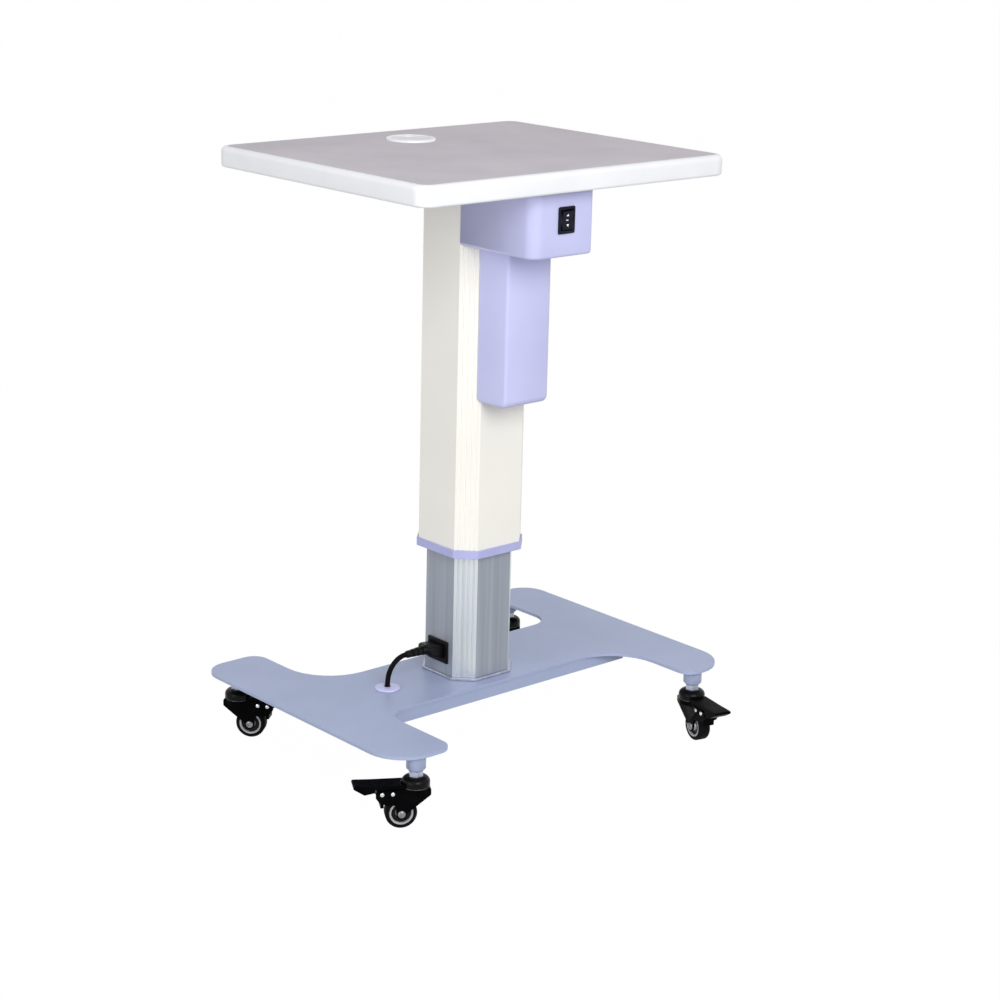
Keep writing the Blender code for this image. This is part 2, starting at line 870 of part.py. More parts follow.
def build_control_box():
    back = -outer_half + outer_chamfer - seat_gap
    outline = rounded_outline([
        (box_left, box_front, box_near_round),
        (box_right, box_front, box_far_round),
        (box_right, back, 0.0),
        (box_left, back, 0.0),
    ], 8)
    mesh = flat_mesh("control_box", [outline], box_bottom, top_underside - seat_gap)
    open_faces(mesh, [(0, 0, 1), (0, 1, 0)])
    box = add_piece("control_box", mesh, "lilac_plastic", lift)
    soften(box, box_edge_round, 2, 60)
    wall = box.modifiers.new("wall", "SOLIDIFY")
    wall.thickness = box_wall
    wall.offset = -1.0
    wall.use_even_offset = True
    cut(box, column_cutter("box_fit", box_bottom - box_wall, table_height))
    motor_hole = rod_mesh(
        "motor_hole", motor_radius + 2 * seat_gap, box_bottom - box_wall, box_bottom + 2 * box_wall,
        centre=(motor_x, motor_y))
    cut(box, add_piece("motor_hole", motor_hole, None, lift))
    window = block_mesh(
        "switch_window",
        (switch_x - switch_body_width / 2 - seat_gap, box_front - box_wall,
         switch_z - switch_body_height / 2 - seat_gap),
        (switch_x + switch_body_width / 2 + seat_gap, box_front + 2 * box_wall,
         switch_z + switch_body_height / 2 + seat_gap))
    cut(box, add_piece("switch_window", window, None, lift))


def build_motor_cover():
    back = -outer_half + outer_chamfer / 2
    top = box_bottom - seat_gap
    side = rounded_outline([
        (back, top, 0.0),
        (cover_front, top, 0.0),
        (cover_front, cover_bottom, cover_toe_round),
        (back, cover_bottom, 0.0),
    ], 4)
    mesh = along_x(flat_mesh("motor_cover", [side], cover_left, cover_right))
    open_faces(mesh, [(0, 0, 1), (0, 1, 0)])
    cover = add_piece("motor_cover", mesh, "lilac_plastic", lift)
    soften(cover, cover_edge_round, 2, 60)
    wall = cover.modifiers.new("wall", "SOLIDIFY")
    wall.thickness = cover_wall
    wall.offset = -1.0
    wall.use_even_offset = True
    cut(cover, column_cutter("cover_fit", cover_bottom - cover_wall, top + cover_wall))


def build_drive():
    case = add_piece("gear_case", block_mesh(
        "gear_case", (case_left, case_front, case_bottom),
        (case_right, case_step, case_bottom + case_front_height)), "cast_aluminium", lift)
    rear = block_mesh("case_rear", (case_left, case_step - seat_gap, case_bottom),
                      (case_right, case_rear, outer_top))
    join(case, add_piece("case_rear", rear, None, lift))
    soften(case, case_edge_round, 2)
    top = case_bottom - seat_gap
    low = top - motor_length
    neck = motor_radius - motor_neck
    neck_low = top - motor_neck_length
    sleeve = motor_radius - motor_band_proud
    band_low = top - motor_band_top
    band_high = low + motor_band_bottom
    turned("drive_motor", [
        (0.0, top), (neck, top), (neck, neck_low), (motor_radius, neck_low - motor_shoulder),
        (motor_radius, band_low), (sleeve, band_low - motor_band_proud),
        (sleeve, band_high + motor_band_proud), (motor_radius, band_high),
        (motor_radius, low + motor_neck), (neck, low), (0.0, low),
    ], "black_steel", lift, (motor_x, motor_y, 0.0), steps=24)
    bore = rod_radius + slide_gap
    outer = bore + tube_wall
    turned("actuator_tube", [
        (bore, top), (outer, top), (outer, tube_bottom + tube_end_height),
        (outer - rod_end_bevel, tube_bottom),
        (bore, tube_bottom),
    ], "bright_steel", lift, steps=24, ring=True)
    floor = box_bottom + box_wall + seat_gap
    left = switch_x - supply_length / 2
    supply = block_mesh("power_supply", (left, supply_front, floor),
                        (left + supply_length, supply_front + supply_depth, floor + supply_height))
    soften(add_piece("power_supply", supply, "black_plastic", lift), supply_edge_round, 2)


def build_actuator_foot():
    low = foot_bottom
    foot = flat_mesh("rod_bracket", [rectangle(-bracket_foot_half, bracket_foot_half, -bracket_foot_half,
                                               bracket_foot_half, bracket_foot_round)],
                     low, low + bracket_foot_thickness)
    bracket = add_piece("rod_bracket", foot, "zinc_steel", frame_origin)
    inner = rod_tongue_half + seat_gap
    for side in (-1, 1):
        edges = sorted((side * inner, side * (inner + ear_thickness)))
        outline = rounded_outline([
            (-ear_depth / 2, low + bracket_foot_thickness / 2, 0.0),
            (ear_depth / 2, low + bracket_foot_thickness / 2, 0.0),
            (ear_depth / 2, low + ear_height, ear_round),
            (-ear_depth / 2, low + ear_height, ear_round),
        ])
        ear = along_x(flat_mesh("ear", [outline], edges[0], edges[1]))
        join(bracket, add_piece("ear", ear, None, frame_origin))
    reach = inner + ear_thickness
    hole = rod_mesh("pin_hole", pin_radius + seat_gap, -2 * reach, 2 * reach, "X", 20, (0.0, pin_z))
    hole_tool = add_piece("pin_hole", hole, None, frame_origin)
    cut(bracket, hole_tool)
    tongue_low = pin_z - rod_tongue_depth / 2
    shoulder = low + ear_height + slide_gap
    rod = turned("push_rod", [
        (0.0, rod_top), (rod_radius - rod_end_bevel, rod_top), (rod_radius, rod_top - rod_end_bevel),
        (rod_radius, shoulder), (0.0, shoulder),
    ], "bright_steel", frame_origin, steps=24)
    outline = rounded_outline([
        (-rod_tongue_depth / 2, tongue_low, rod_tongue_round),
        (rod_tongue_depth / 2, tongue_low, rod_tongue_round),
        (rod_tongue_depth / 2, shoulder + rod_tongue_half, 0.0),
        (-rod_tongue_depth / 2, shoulder + rod_tongue_half, 0.0),
    ])
    tongue = along_x(flat_mesh("tongue", [outline], -rod_tongue_half, rod_tongue_half))
    join(rod, add_piece("tongue", tongue, None, frame_origin))
    cut(rod, hole_tool)
    end = reach + seat_gap
    turned("rod_pin", [
        (0.0, end + pin_head), (pin_head_radius, end + pin_head), (pin_head_radius, end),
        (pin_radius, end), (pin_radius, -end - pin_head), (0.0, -end - pin_head),
    ], "bright_steel", frame_origin, (0.0, 0.0, pin_z), (0.0, math.radians(90), 0.0), 20)


# Switch

def build_switch():
    front = box_front - seat_gap
    half_w = bezel_width / 2
    half_h = bezel_height / 2
    hole_w = rocker_width / 2 + rocker_gap / 2
    hole_h = rocker_height / 2 + rocker_gap
    outline = rectangle(-half_w, half_w, -half_h, half_h, bezel_corner, 3)
    bezel_mesh = along_y(flat_mesh("switch_bezel", [outline], 0.0, bezel_thickness))
    place = (switch_x, front, switch_z)
    bezel = add_piece("switch_bezel", bezel_mesh, "black_plastic", lift, place)
    soften(bezel, bezel_thickness / 3, 2)
    body = block_mesh("switch_body", (-switch_body_width / 2, -bezel_thickness / 2, -switch_body_height / 2),
                      (switch_body_width / 2, switch_body_depth, switch_body_height / 2))
    join(bezel, add_piece("switch_body", body, None, lift, place))
    pocket = block_mesh("switch_pocket", (-hole_w, -2 * bezel_thickness, -hole_h),
                        (hole_w, rocker_depth + rocker_gap, hole_h))
    cut(bezel, add_piece("switch_pocket", pocket, None, lift, place))
    pivot = empty("rocker_pivot", (switch_x, front + rocker_pivot_depth, switch_z), lift)
    face = -bezel_thickness - rocker_pivot_depth
    back = rocker_depth - rocker_pivot_depth
    half = rocker_height / 2
    side = rounded_outline([
        (back, -half * rocker_back_share, 0.0),
        (back, half * rocker_back_share, 0.0),
        (0.0, half, 0.0),
        (face - rocker_rise, half, rocker_dip),
        (face + rocker_dip, 0.0, half * rocker_sweep_share),
        (face - rocker_rise, -half, rocker_dip),
        (0.0, -half, 0.0),
    ], 4)
    rocker = along_x(flat_mesh("switch_rocker", [side], -rocker_width / 2, rocker_width / 2))
    add_piece("switch_rocker", rocker, "black_plastic", pivot)


# Mains inlet, plug and lead

def build_inlet():
    face = -inner_half - seat_gap
    flange = block_mesh("inlet_socket", (face - inlet_flange, -inlet_width / 2, inlet_z - inlet_height / 2),
                        (face, inlet_width / 2, inlet_z + inlet_height / 2))
    socket = add_piece("inlet_socket", flange, "black_plastic", frame_origin)
    soften(socket, inlet_flange / 3, 2)
    half_w = inlet_body_width / 2
    half_h = inlet_body_height / 2
    body = block_mesh("inlet_body", (face - inlet_flange / 2, -half_w, inlet_z - half_h),
                      (face + inlet_body_depth, half_w, inlet_z + half_h))
    join(socket, add_piece("inlet_body", body, None, frame_origin))
    half_w -= inlet_wall
    half_h -= inlet_wall
    pocket = block_mesh("inlet_pocket", (face - 2 * inlet_flange, -half_w, inlet_z - half_h),
                        (face + plug_depth + slide_gap, half_w, inlet_z + half_h))
    cut(socket, add_piece("inlet_pocket", pocket, None, frame_origin))
    build_plug(face - inlet_flange - seat_gap, half_w - slide_gap, half_h - slide_gap)


def build_plug(face, half_w, half_h):
    grip = along_y(flat_mesh("power_plug", [rounded_outline([
        (face, inlet_z - half_h - inlet_wall / 2, 0.0),
        (face, inlet_z + half_h + inlet_wall / 2, 0.0),
        (face - plug_grip_length, plug_tip_z + plug_neck_radius, plug_tail_round),
        (face - plug_grip_length, plug_tip_z - plug_neck_radius, plug_tail_round),
    ], 3)], -half_w - inlet_wall / 2, half_w + inlet_wall / 2))
    plug = add_piece("power_plug", grip, "black_plastic", frame_origin)
    soften(plug, plug_round, 2)
    nose = block_mesh("plug_nose", (face - plug_nose_root, -half_w, inlet_z - half_h),
                      (face + inlet_flange + plug_depth, half_w, inlet_z + half_h))
    join(plug, add_piece("plug_nose", nose, None, frame_origin))
    root = plug_grip_length * plug_root_share
    pitch = plug_neck_length / plug_ring_count
    neck = [(0.0, root)]
    for ring in range(plug_ring_count):
        share = ring / plug_ring_count
        radius = plug_neck_radius + (plug_tip_radius - plug_neck_radius) * share
        groove = radius * plug_groove_share
        start = -plug_neck_length * share
        low = start - pitch * plug_ring_share
        neck += [(radius, start if ring else root), (radius * plug_ring_taper, low), (groove, low),
                 (groove, start - pitch)]
    neck += [(plug_tip_radius * plug_ring_taper, -plug_neck_length), (0.0, -plug_neck_length)]
    neck_place = (face - plug_grip_length, 0.0, plug_tip_z)
    relief = turned("plug_neck", neck, None, frame_origin, neck_place, (0.0, math.radians(90), 0.0), 12)
    join(plug, relief)


lead_route = [
    (-0.1030, 0.0, 0.1305),
    (-0.1068, 0.0, 0.1301),
    (-0.1143, 0.0, 0.1273),
    (-0.1220, 0.0, 0.1211),
    (-0.1275, 0.0, 0.1122),
    (-0.1297, 0.0, 0.1020),
    (-0.1300, 0.0, 0.0920),
    (-0.1300, 0.0, 0.0820),
]


def smooth_route(route, spacing):
    """Points along a smooth curve through the route, a given distance apart."""
    spots = [Vector(point) for point in route]
    spots = [2 * spots[0] - spots[1]] + spots + [2 * spots[-1] - spots[-2]]
    fine = []
    for a, b, c, d in zip(spots, spots[1:], spots[2:], spots[3:]):
        for step in range(20):
            t = step / 20
            fine.append(0.5 * (2 * b + (c - a) * t + (2 * a - 5 * b + 4 * c - d) * t * t
                               + (3 * b - a - 3 * c + d) * t * t * t))
    fine.append(spots[-2])
    chosen = [fine[0]]
    travelled = 0.0
    for before, after in zip(fine, fine[1:]):
        travelled += (after - before).length
        if travelled >= spacing:
            chosen.append(after)
            travelled = 0.0
    if travelled > spacing / 2:
        chosen.append(fine[-1])
    else:
        chosen[-1] = fine[-1]
    return chosen


def build_lead():
    curve = bpy.data.curves.new("power_cord", "CURVE")
    curve.dimensions = "3D"
    curve.bevel_depth = lead_diameter / 2
    curve.bevel_resolution = 2
    curve.use_fill_caps = True
    points = smooth_route(lead_route, lead_diameter)
    spline = curve.splines.new("POLY")
    spline.points.add(len(points) - 1)
    for point, spot in zip(spline.points, points):
        point.co = (*spot, 1.0)
    curve.materials.append(finish("black_rubber"))
    cord = bpy.data.objects.new("power_cord", curve)
    parts.objects.link(cord)
    cord.parent = frame_origin


# Casters, each in its own frame: +X is the way the wheel trails, Y the wheel's axis

sideways = (math.radians(90), 0.0, 0.0)


def build_caster(corner, place, heading):
    stem_axis = empty("swivel_" + corner, place, frame_origin, heading)
    build_caster_head(corner, stem_axis)
    build_fork(corner, stem_axis)
    build_wheel(corner, empty("wheel_" + corner, (wheel_trail, 0.0, wheel_radius), stem_axis))
    build_pedal(corner, empty("pedal_" + corner, (pedal_trail, 0.0, pedal_z), stem_axis))


def build_caster_head(corner, stem_axis):
    boss_bottom = plate_bottom - boss_drop
    nut_top = boss_bottom - seat_gap
    nut_bottom = nut_top - nut_height
    head_top = well_top - seat_gap
    stem = turned("caster_stem_" + corner, [
        (0.0, boss_bottom + stem_depth), (stem_radius, boss_bottom + stem_depth),
        (stem_radius, head_top), (stem_head_radius, head_top),
        (stem_head_radius, head_top - stem_head_height * stem_head_share),
        (stem_head_radius * stem_head_share, head_top - stem_head_height), (0.0, head_top - stem_head_height),
    ], "zinc_steel", stem_axis, steps=12)
    nut = rod_mesh("nut_" + corner, nut_radius, nut_bottom, nut_top, sides=6)
    nut.shade_flat()
    join(stem, add_piece("nut_" + corner, nut, None, stem_axis))
    low = fork_top + seat_gap
    high = nut_bottom - seat_gap
    bore = stem_radius + seat_gap
    turned("caster_cap_" + corner, [
        (bore, high), (cap_crown_radius, high), (cap_shoulder_radius, high - cap_shoulder_drop),
        (head_radius, low + cap_skirt), (head_radius, low), (bore, low),
    ], "black_steel", stem_axis, steps=20, ring=True)


def build_fork(corner, stem_axis):
    outline = rounded_outline([
        (-head_radius, fork_top, fork_wall),
        (-head_radius, fork_top - crown_skirt, cheek_round),
        (wheel_trail - tongue_half, wheel_radius + tongue_shoulder, cheek_round),
        (wheel_trail - tongue_half, wheel_radius - tongue_half, tongue_round),
        (wheel_trail + tongue_half, wheel_radius - tongue_half, tongue_round),
        (wheel_trail + tongue_half, cheek_neck_z, cheek_round),
        (cheek_heel_trail, cheek_heel_z, cheek_round),
        (cheek_reach, cheek_rear_low, cheek_round),
        (cheek_reach, cheek_rear_top, fork_wall),
        (brow_trail, fork_top - brow_drop, brow_round),
        (head_radius, fork_top, fork_wall / 2),
    ], 3)
    fork = add_piece("caster_fork_" + corner, along_y(flat_mesh("fork", [outline], -fork_half, fork_half)),
                     "black_steel", stem_axis)
    crown = rod_mesh("crown_" + corner, head_radius, well_top, fork_top, sides=20)
    join(fork, add_piece("crown_" + corner, crown, None, stem_axis))
    reach = 2 * cheek_reach
    well = block_mesh("well_" + corner, (-reach, -fork_gap / 2, -wheel_radius),
                      (reach, fork_gap / 2, well_top))
    cut(fork, add_piece("well_" + corner, well, None, stem_axis))
    slot_start = head_radius + fork_wall
    slot = block_mesh("slot_" + corner, (slot_start, -fork_gap / 2, well_top - wheel_radius),
                      (reach, fork_gap / 2, fork_top + wheel_radius))
    cut(fork, add_piece("slot_" + corner, slot, None, stem_axis))
    king = rod_mesh("king_hole", stem_radius + turn_gap, well_top - fork_wall, fork_top + fork_wall, sides=12)
    cut(fork, add_piece("king_hole_" + corner, king, None, stem_axis))
    for name, radius, x, z in (("axle_hole_", axle_radius, wheel_trail, wheel_radius),
                               ("pin_hole_", rivet_shank, pedal_trail, pedal_z)):
        hole = rod_mesh(name, radius + seat_gap, -2 * fork_half, 2 * fork_half, "Y", 12, (x, z))
        cut(fork, add_piece(name + corner, hole, None, stem_axis))
    tie = rivet_profile(rivet_shank, rivet_radius, rivet_height, fork_half - seat_gap)
    join(fork, turned("tie_" + corner, tie, None, stem_axis, (tie_trail, 0.0, pedal_z), sideways, 12))


def build_wheel(corner, axle_place):
    half = tyre_width / 2
    inner = wheel_radius - tyre_depth
    edge = wheel_radius - tyre_shoulder
    knee = wheel_radius - tyre_knee_drop
    knee_half = half - tyre_knee_inset
    turned("tyre_" + corner, [
        (inner, half), (edge, half), (knee, knee_half), (wheel_radius, tyre_crown_half),
        (wheel_radius, -tyre_crown_half), (knee, -knee_half), (edge, -half), (inner, -half),
    ], "black_rubber", axle_place, (0.0, 0.0, 0.0), sideways, 24, True)
    rim = inner - seat_gap
    lip = rim - hub_rim_depth
    bore = axle_radius + turn_gap
    foot = hub_boss_radius + hub_draft
    half = hub_width / 2
    web = hub_web_half
    turned("hub_" + corner, [
        (bore, half), (hub_boss_radius, half), (foot, web), (lip, web), (rim, half - hub_rim_drop),
        (rim, hub_rim_drop - half), (lip, -web), (foot, -web), (hub_boss_radius, -half), (bore, -half),
    ], "zinc_steel", axle_place, (0.0, 0.0, 0.0), sideways, 18, True)
    profile = rivet_profile(axle_radius, axle_head_radius, axle_head_length, fork_half + seat_gap)
    turned("axle_" + corner, profile, "bright_steel", axle_place.parent,
           (wheel_trail, 0.0, wheel_radius), sideways, 12)


def rivet_profile(shank, head, rise, end):
    """Pin from end to end along Y with a bevelled head outside each end."""
    flat = head - rise
    return [
        (0.0, end + rise), (flat, end + rise), (head, end), (shank, end),
        (shank, -end), (head, -end), (flat, -end - rise), (0.0, -end - rise),
    ]


def pedal_plate(name, corners, half):
    """Plate across the fork from corners (trail, height, radius), set in the pedal pin's frame."""
    around_pin = [(x - pedal_trail, z - pedal_z, radius) for x, z, radius in corners]
    return along_y(flat_mesh(name, [rounded_outline(around_pin, 3)], -half, half))


def build_pedal(corner, pivot):
    """Brake pedal on its pin: a cover with a tread behind it, and a web with a shoe behind the tyre."""
    under = fork_top + cover_gap
    tread_front = cheek_reach + cover_cap_gap
    cover = pedal_plate("cover", [
        (0.0, under, 0.0),
        (0.0, cover_crest, 0.0),
        (tread_start, cover_crest, 0.0),
        (tread_crest_trail, tread_crest, tread_round),
        (tread_end, tread_end_z, tread_round),
        (tread_low_trail, tread_low, 2 * tread_round),
        (tread_front, tread_heel_z, tread_round / 2),
        (tread_front, under, 0.0),
    ], cover_width / 2)
    pedal = add_piece("brake_pedal_" + corner, cover, "black_plastic", pivot)
    room = rod_mesh("cap_room", head_radius + cover_cap_gap, under - head_radius, cover_crest + head_radius,
                    sides=40)
    cut(pedal, add_piece("cap_room_" + corner, room, None, pivot, (-pedal_trail, 0.0, -pedal_z)))
    middle = (under + cover_crest) / 2
    shoe_front = wheel_trail + wheel_radius + shoe_gap
    web = pedal_plate("web", [
        (web_front, middle, 0.0),
        (web_front, web_front_low, tread_round),
        (shoe_front, shoe_high, tread_round),
        (shoe_front, shoe_low, shoe_round),
        (shoe_front + shoe_depth, shoe_low, shoe_round),
        (shoe_front + shoe_depth, shoe_high, tread_round),
        (web_rear, web_rear_low, tread_round),
        (web_rear, middle, 0.0),
    ], web_width / 2)
    join(pedal, add_piece("web_" + corner, web, None, pivot))
    hole = rod_mesh("pedal_hole", rivet_shank + seat_gap, -web_width, web_width, "Y", 12)
    cut(pedal, add_piece("pedal_hole_" + corner, hole, None, pivot))
    profile = rivet_profile(rivet_shank, rivet_radius, rivet_height, fork_half + seat_gap)
    turned("pedal_pin_" + corner, profile, "bright_steel", pivot.parent,
           (pedal_trail, 0.0, pedal_z), sideways, 12)


build_base()
build_lead_grommet()
build_inner_column()
build_outer_column()
build_top()
build_cable_grommet()
build_control_box()
build_motor_cover()
build_drive()
build_actuator_foot()
build_switch()
build_inlet()
build_lead()
for caster_name, caster_place, caster_heading in caster_corners():
    build_caster(caster_name, caster_place, caster_heading)
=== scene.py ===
# Looks of a motorised instrument table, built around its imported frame.
# Metres, +Z up, the switch looks towards -Y.

import json
import math

import bmesh
import bpy
import numpy as np
from mathutils import Matrix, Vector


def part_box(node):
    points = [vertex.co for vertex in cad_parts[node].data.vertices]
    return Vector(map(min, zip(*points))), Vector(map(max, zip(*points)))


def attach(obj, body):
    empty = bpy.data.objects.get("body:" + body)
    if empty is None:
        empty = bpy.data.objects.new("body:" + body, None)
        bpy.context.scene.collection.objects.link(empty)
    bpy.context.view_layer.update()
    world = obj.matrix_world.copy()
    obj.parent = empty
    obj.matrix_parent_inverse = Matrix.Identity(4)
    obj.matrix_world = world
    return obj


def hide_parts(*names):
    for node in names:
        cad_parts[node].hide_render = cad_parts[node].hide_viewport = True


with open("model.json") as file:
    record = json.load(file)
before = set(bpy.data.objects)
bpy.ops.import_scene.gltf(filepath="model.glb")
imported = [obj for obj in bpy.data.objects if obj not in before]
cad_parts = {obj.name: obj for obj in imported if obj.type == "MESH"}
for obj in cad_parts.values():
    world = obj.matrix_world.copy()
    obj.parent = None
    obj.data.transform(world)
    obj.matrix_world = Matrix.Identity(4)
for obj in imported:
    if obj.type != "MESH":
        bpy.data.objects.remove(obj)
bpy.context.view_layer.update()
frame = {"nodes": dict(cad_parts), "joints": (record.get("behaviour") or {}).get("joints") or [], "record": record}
scene = bpy.context.scene
joints = {joint["name"]: joint for joint in frame["joints"]}
bodyOf = {node: body for body, nodes in frame["record"]["behaviour"]["bodies"].items() for node in nodes}
slotOf = {part["node"]: part["material_slot"] for part in frame["record"]["subparts"]}
corners = ("front_left", "front_right", "rear_left", "rear_right")
column = np.array([0.0087, 0.0087, 0.0])  # where the column's axis meets the floor
tableTop, tableUnderside = 0.752, 0.727
upright = (0.0, 0.0, 1.0)
print("frame loaded:", len(frame["nodes"]), "nodes")


# Camera

cameraView = {
    "aim": column + (0.0, 0.0, 0.397),
    "turn": -41.08,  # degrees round the column from the front, towards -X
    "pitch": 14.69,
    "roll": 1.26,
    "distance": 2.8948,
    "lens": 83.79,
    "sensor": 36.0,
    "shift": (0.0281, -0.0644),
}


def placeCamera(view):
    # The camera stands off the aim along back, turned and pitched round it and rolled about that line.
    turn, pitch, roll = np.radians([view["turn"], view["pitch"], view["roll"]])
    back = np.array([np.sin(turn) * np.cos(pitch), -np.cos(turn) * np.cos(pitch), np.sin(pitch)])
    level = np.array([np.cos(turn), np.sin(turn), 0.0])
    square = np.cross(back, level)
    right = np.cos(roll) * level + np.sin(roll) * square
    up = np.cos(roll) * square - np.sin(roll) * level
    camera = bpy.data.cameras.new("tableCamera")
    camera.lens = view["lens"]
    camera.sensor_width = view["sensor"]
    camera.shift_x, camera.shift_y = view["shift"]
    cameraObject = bpy.data.objects.new("tableCamera", camera)
    scene.collection.objects.link(cameraObject)
    pose = np.eye(4)
    pose[:3, :3] = np.column_stack([right, up, back])
    pose[:3, 3] = view["aim"] + back * view["distance"]
    cameraObject.matrix_world = Matrix(pose.tolist())
    scene.camera = cameraObject


placeCamera(cameraView)
print("camera placed")


# Meshes worked out as grids

joining = {
    "seam": 1e-6,  # points closer than this are one
    "sliver": 1e-7,
    "cadSeam": 2e-6,
    "flat": 0.3,  # degrees between two faces that are read as one flat face
}


def gridMesh(name, points, wrapRows=True, wrapColumns=True, slots=None):
    # points is rows x columns x 3; every cell between four neighbours is one face.
    # Where a whole row falls on one point, its cells stay as they are until closeMesh merges them into a pole.
    rows, columns = points.shape[:2]
    index = np.arange(rows * columns).reshape(rows, columns)
    below = np.roll(index, -1, axis=0)
    cells = np.stack([index, np.roll(index, -1, axis=1), np.roll(below, -1, axis=1), below], axis=-1)
    cells = cells[:rows if wrapRows else rows - 1, :columns if wrapColumns else columns - 1]
    slotGrid = np.zeros(cells.shape[:2], int) if slots is None else np.broadcast_to(
        np.asarray(slots)[:cells.shape[0], None], cells.shape[:2])
    cells = cells.reshape(-1, 4)
    mesh = bpy.data.meshes.new(name)
    mesh.vertices.add(rows * columns)
    mesh.vertices.foreach_set("co", points.reshape(-1).astype(np.float32))
    mesh.loops.add(cells.size)
    mesh.loops.foreach_set("vertex_index", cells.reshape(-1).astype(np.int32))
    mesh.polygons.add(len(cells))
    mesh.polygons.foreach_set("loop_start", np.arange(0, cells.size, 4, dtype=np.int32))
    mesh.polygons.foreach_set("material_index", slotGrid.reshape(-1).astype(np.int32))
    mesh.update(calc_edges=True)
    return mesh


def closeMesh(mesh, sharpAngle=40.0):
    # Merges poles and seams, turns every face outwards and shades it smooth up to an angle.
    work = bmesh.new()
    work.from_mesh(mesh)
    bmesh.ops.remove_doubles(work, verts=work.verts, dist=joining["seam"])
    bmesh.ops.dissolve_degenerate(work, dist=joining["sliver"], edges=work.edges)
    bmesh.ops.recalc_face_normals(work, faces=work.faces)
    work.to_mesh(mesh)
    work.free()
    mesh.shade_smooth()
    mesh.set_sharp_from_angle(angle=math.radians(sharpAngle))
    return mesh


def addPiece(name, mesh, coats, body, nodes=()):
    # A piece with its finishes, which rides on a body and stands for the nodes that are named.
    piece = bpy.data.objects.new(name, mesh)
    scene.collection.objects.link(piece)
    for coat in coats:
        mesh.materials.append(coat)
    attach(piece, body)
    if nodes:
        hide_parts(*nodes)
    return piece


def turnedPoints(profile, centre, axis, steps=72):
    # Circle of points for each (radius, height) of the profile, round an axis through centre.
    # The circle starts square to the axis and to a helper direction, which is never near the axis.
    axis = np.array(axis, float) / np.linalg.norm(axis)
    helper = np.array(upright) if abs(axis[2]) < 0.9 else np.array([1.0, 0.0, 0.0])
    across = np.cross(axis, helper)
    across /= np.linalg.norm(across)
    other = np.cross(axis, across)
    angle = np.linspace(0.0, 2.0 * np.pi, steps, endpoint=False)
    spokes = np.cos(angle)[:, None] * across + np.sin(angle)[:, None] * other
    profile = np.asarray(profile, float)
    return (np.asarray(centre, float) + profile[:, None, 1:2] * axis + profile[:, None, 0:1] * spokes[None])


def arc(centreA, centreB, radius, start, end, steps):
    # Points of a circle's arc between two angles in degrees.
    angle = np.radians(np.linspace(start, end, steps + 1))
    return np.column_stack([centreA + radius * np.cos(angle), centreB + radius * np.sin(angle)])


def dome(inner, high, outer, low, steps=8):
    # Quarter of an ellipse from (inner, high), where it lies level, down to (outer, low), where it stands.
    angle = np.linspace(0.0, np.pi / 2.0, steps + 1)
    return np.column_stack([inner + (outer - inner) * np.sin(angle), low + (high - low) * np.cos(angle)])


def mergedCopy(node, sharpAngle=40.0):
    # The CAD node's own shape with its loose triangles joined and its curves shaded smooth.
    mesh = frame["nodes"][node].data.copy()
    mesh.materials.clear()
    work = bmesh.new()
    work.from_mesh(mesh)
    bmesh.ops.remove_doubles(work, verts=work.verts, dist=joining["cadSeam"])
    flat = math.radians(joining["flat"])
    bmesh.ops.dissolve_limit(work, angle_limit=flat, verts=work.verts, edges=work.edges)
    work.to_mesh(mesh)
    work.free()
    mesh.shade_smooth()
    mesh.set_sharp_from_angle(angle=math.radians(sharpAngle))
    return mesh


# Finishes

def shade(red, green, blue):
    # A screen colour from 0 to 255, as the shader wants it.
    value = np.array([red, green, blue]) / 255.0
    linear = np.where(value <= 0.04045, value / 12.92, ((value + 0.055) / 1.055) ** 2.4)
    return (*linear.tolist(), 1.0)


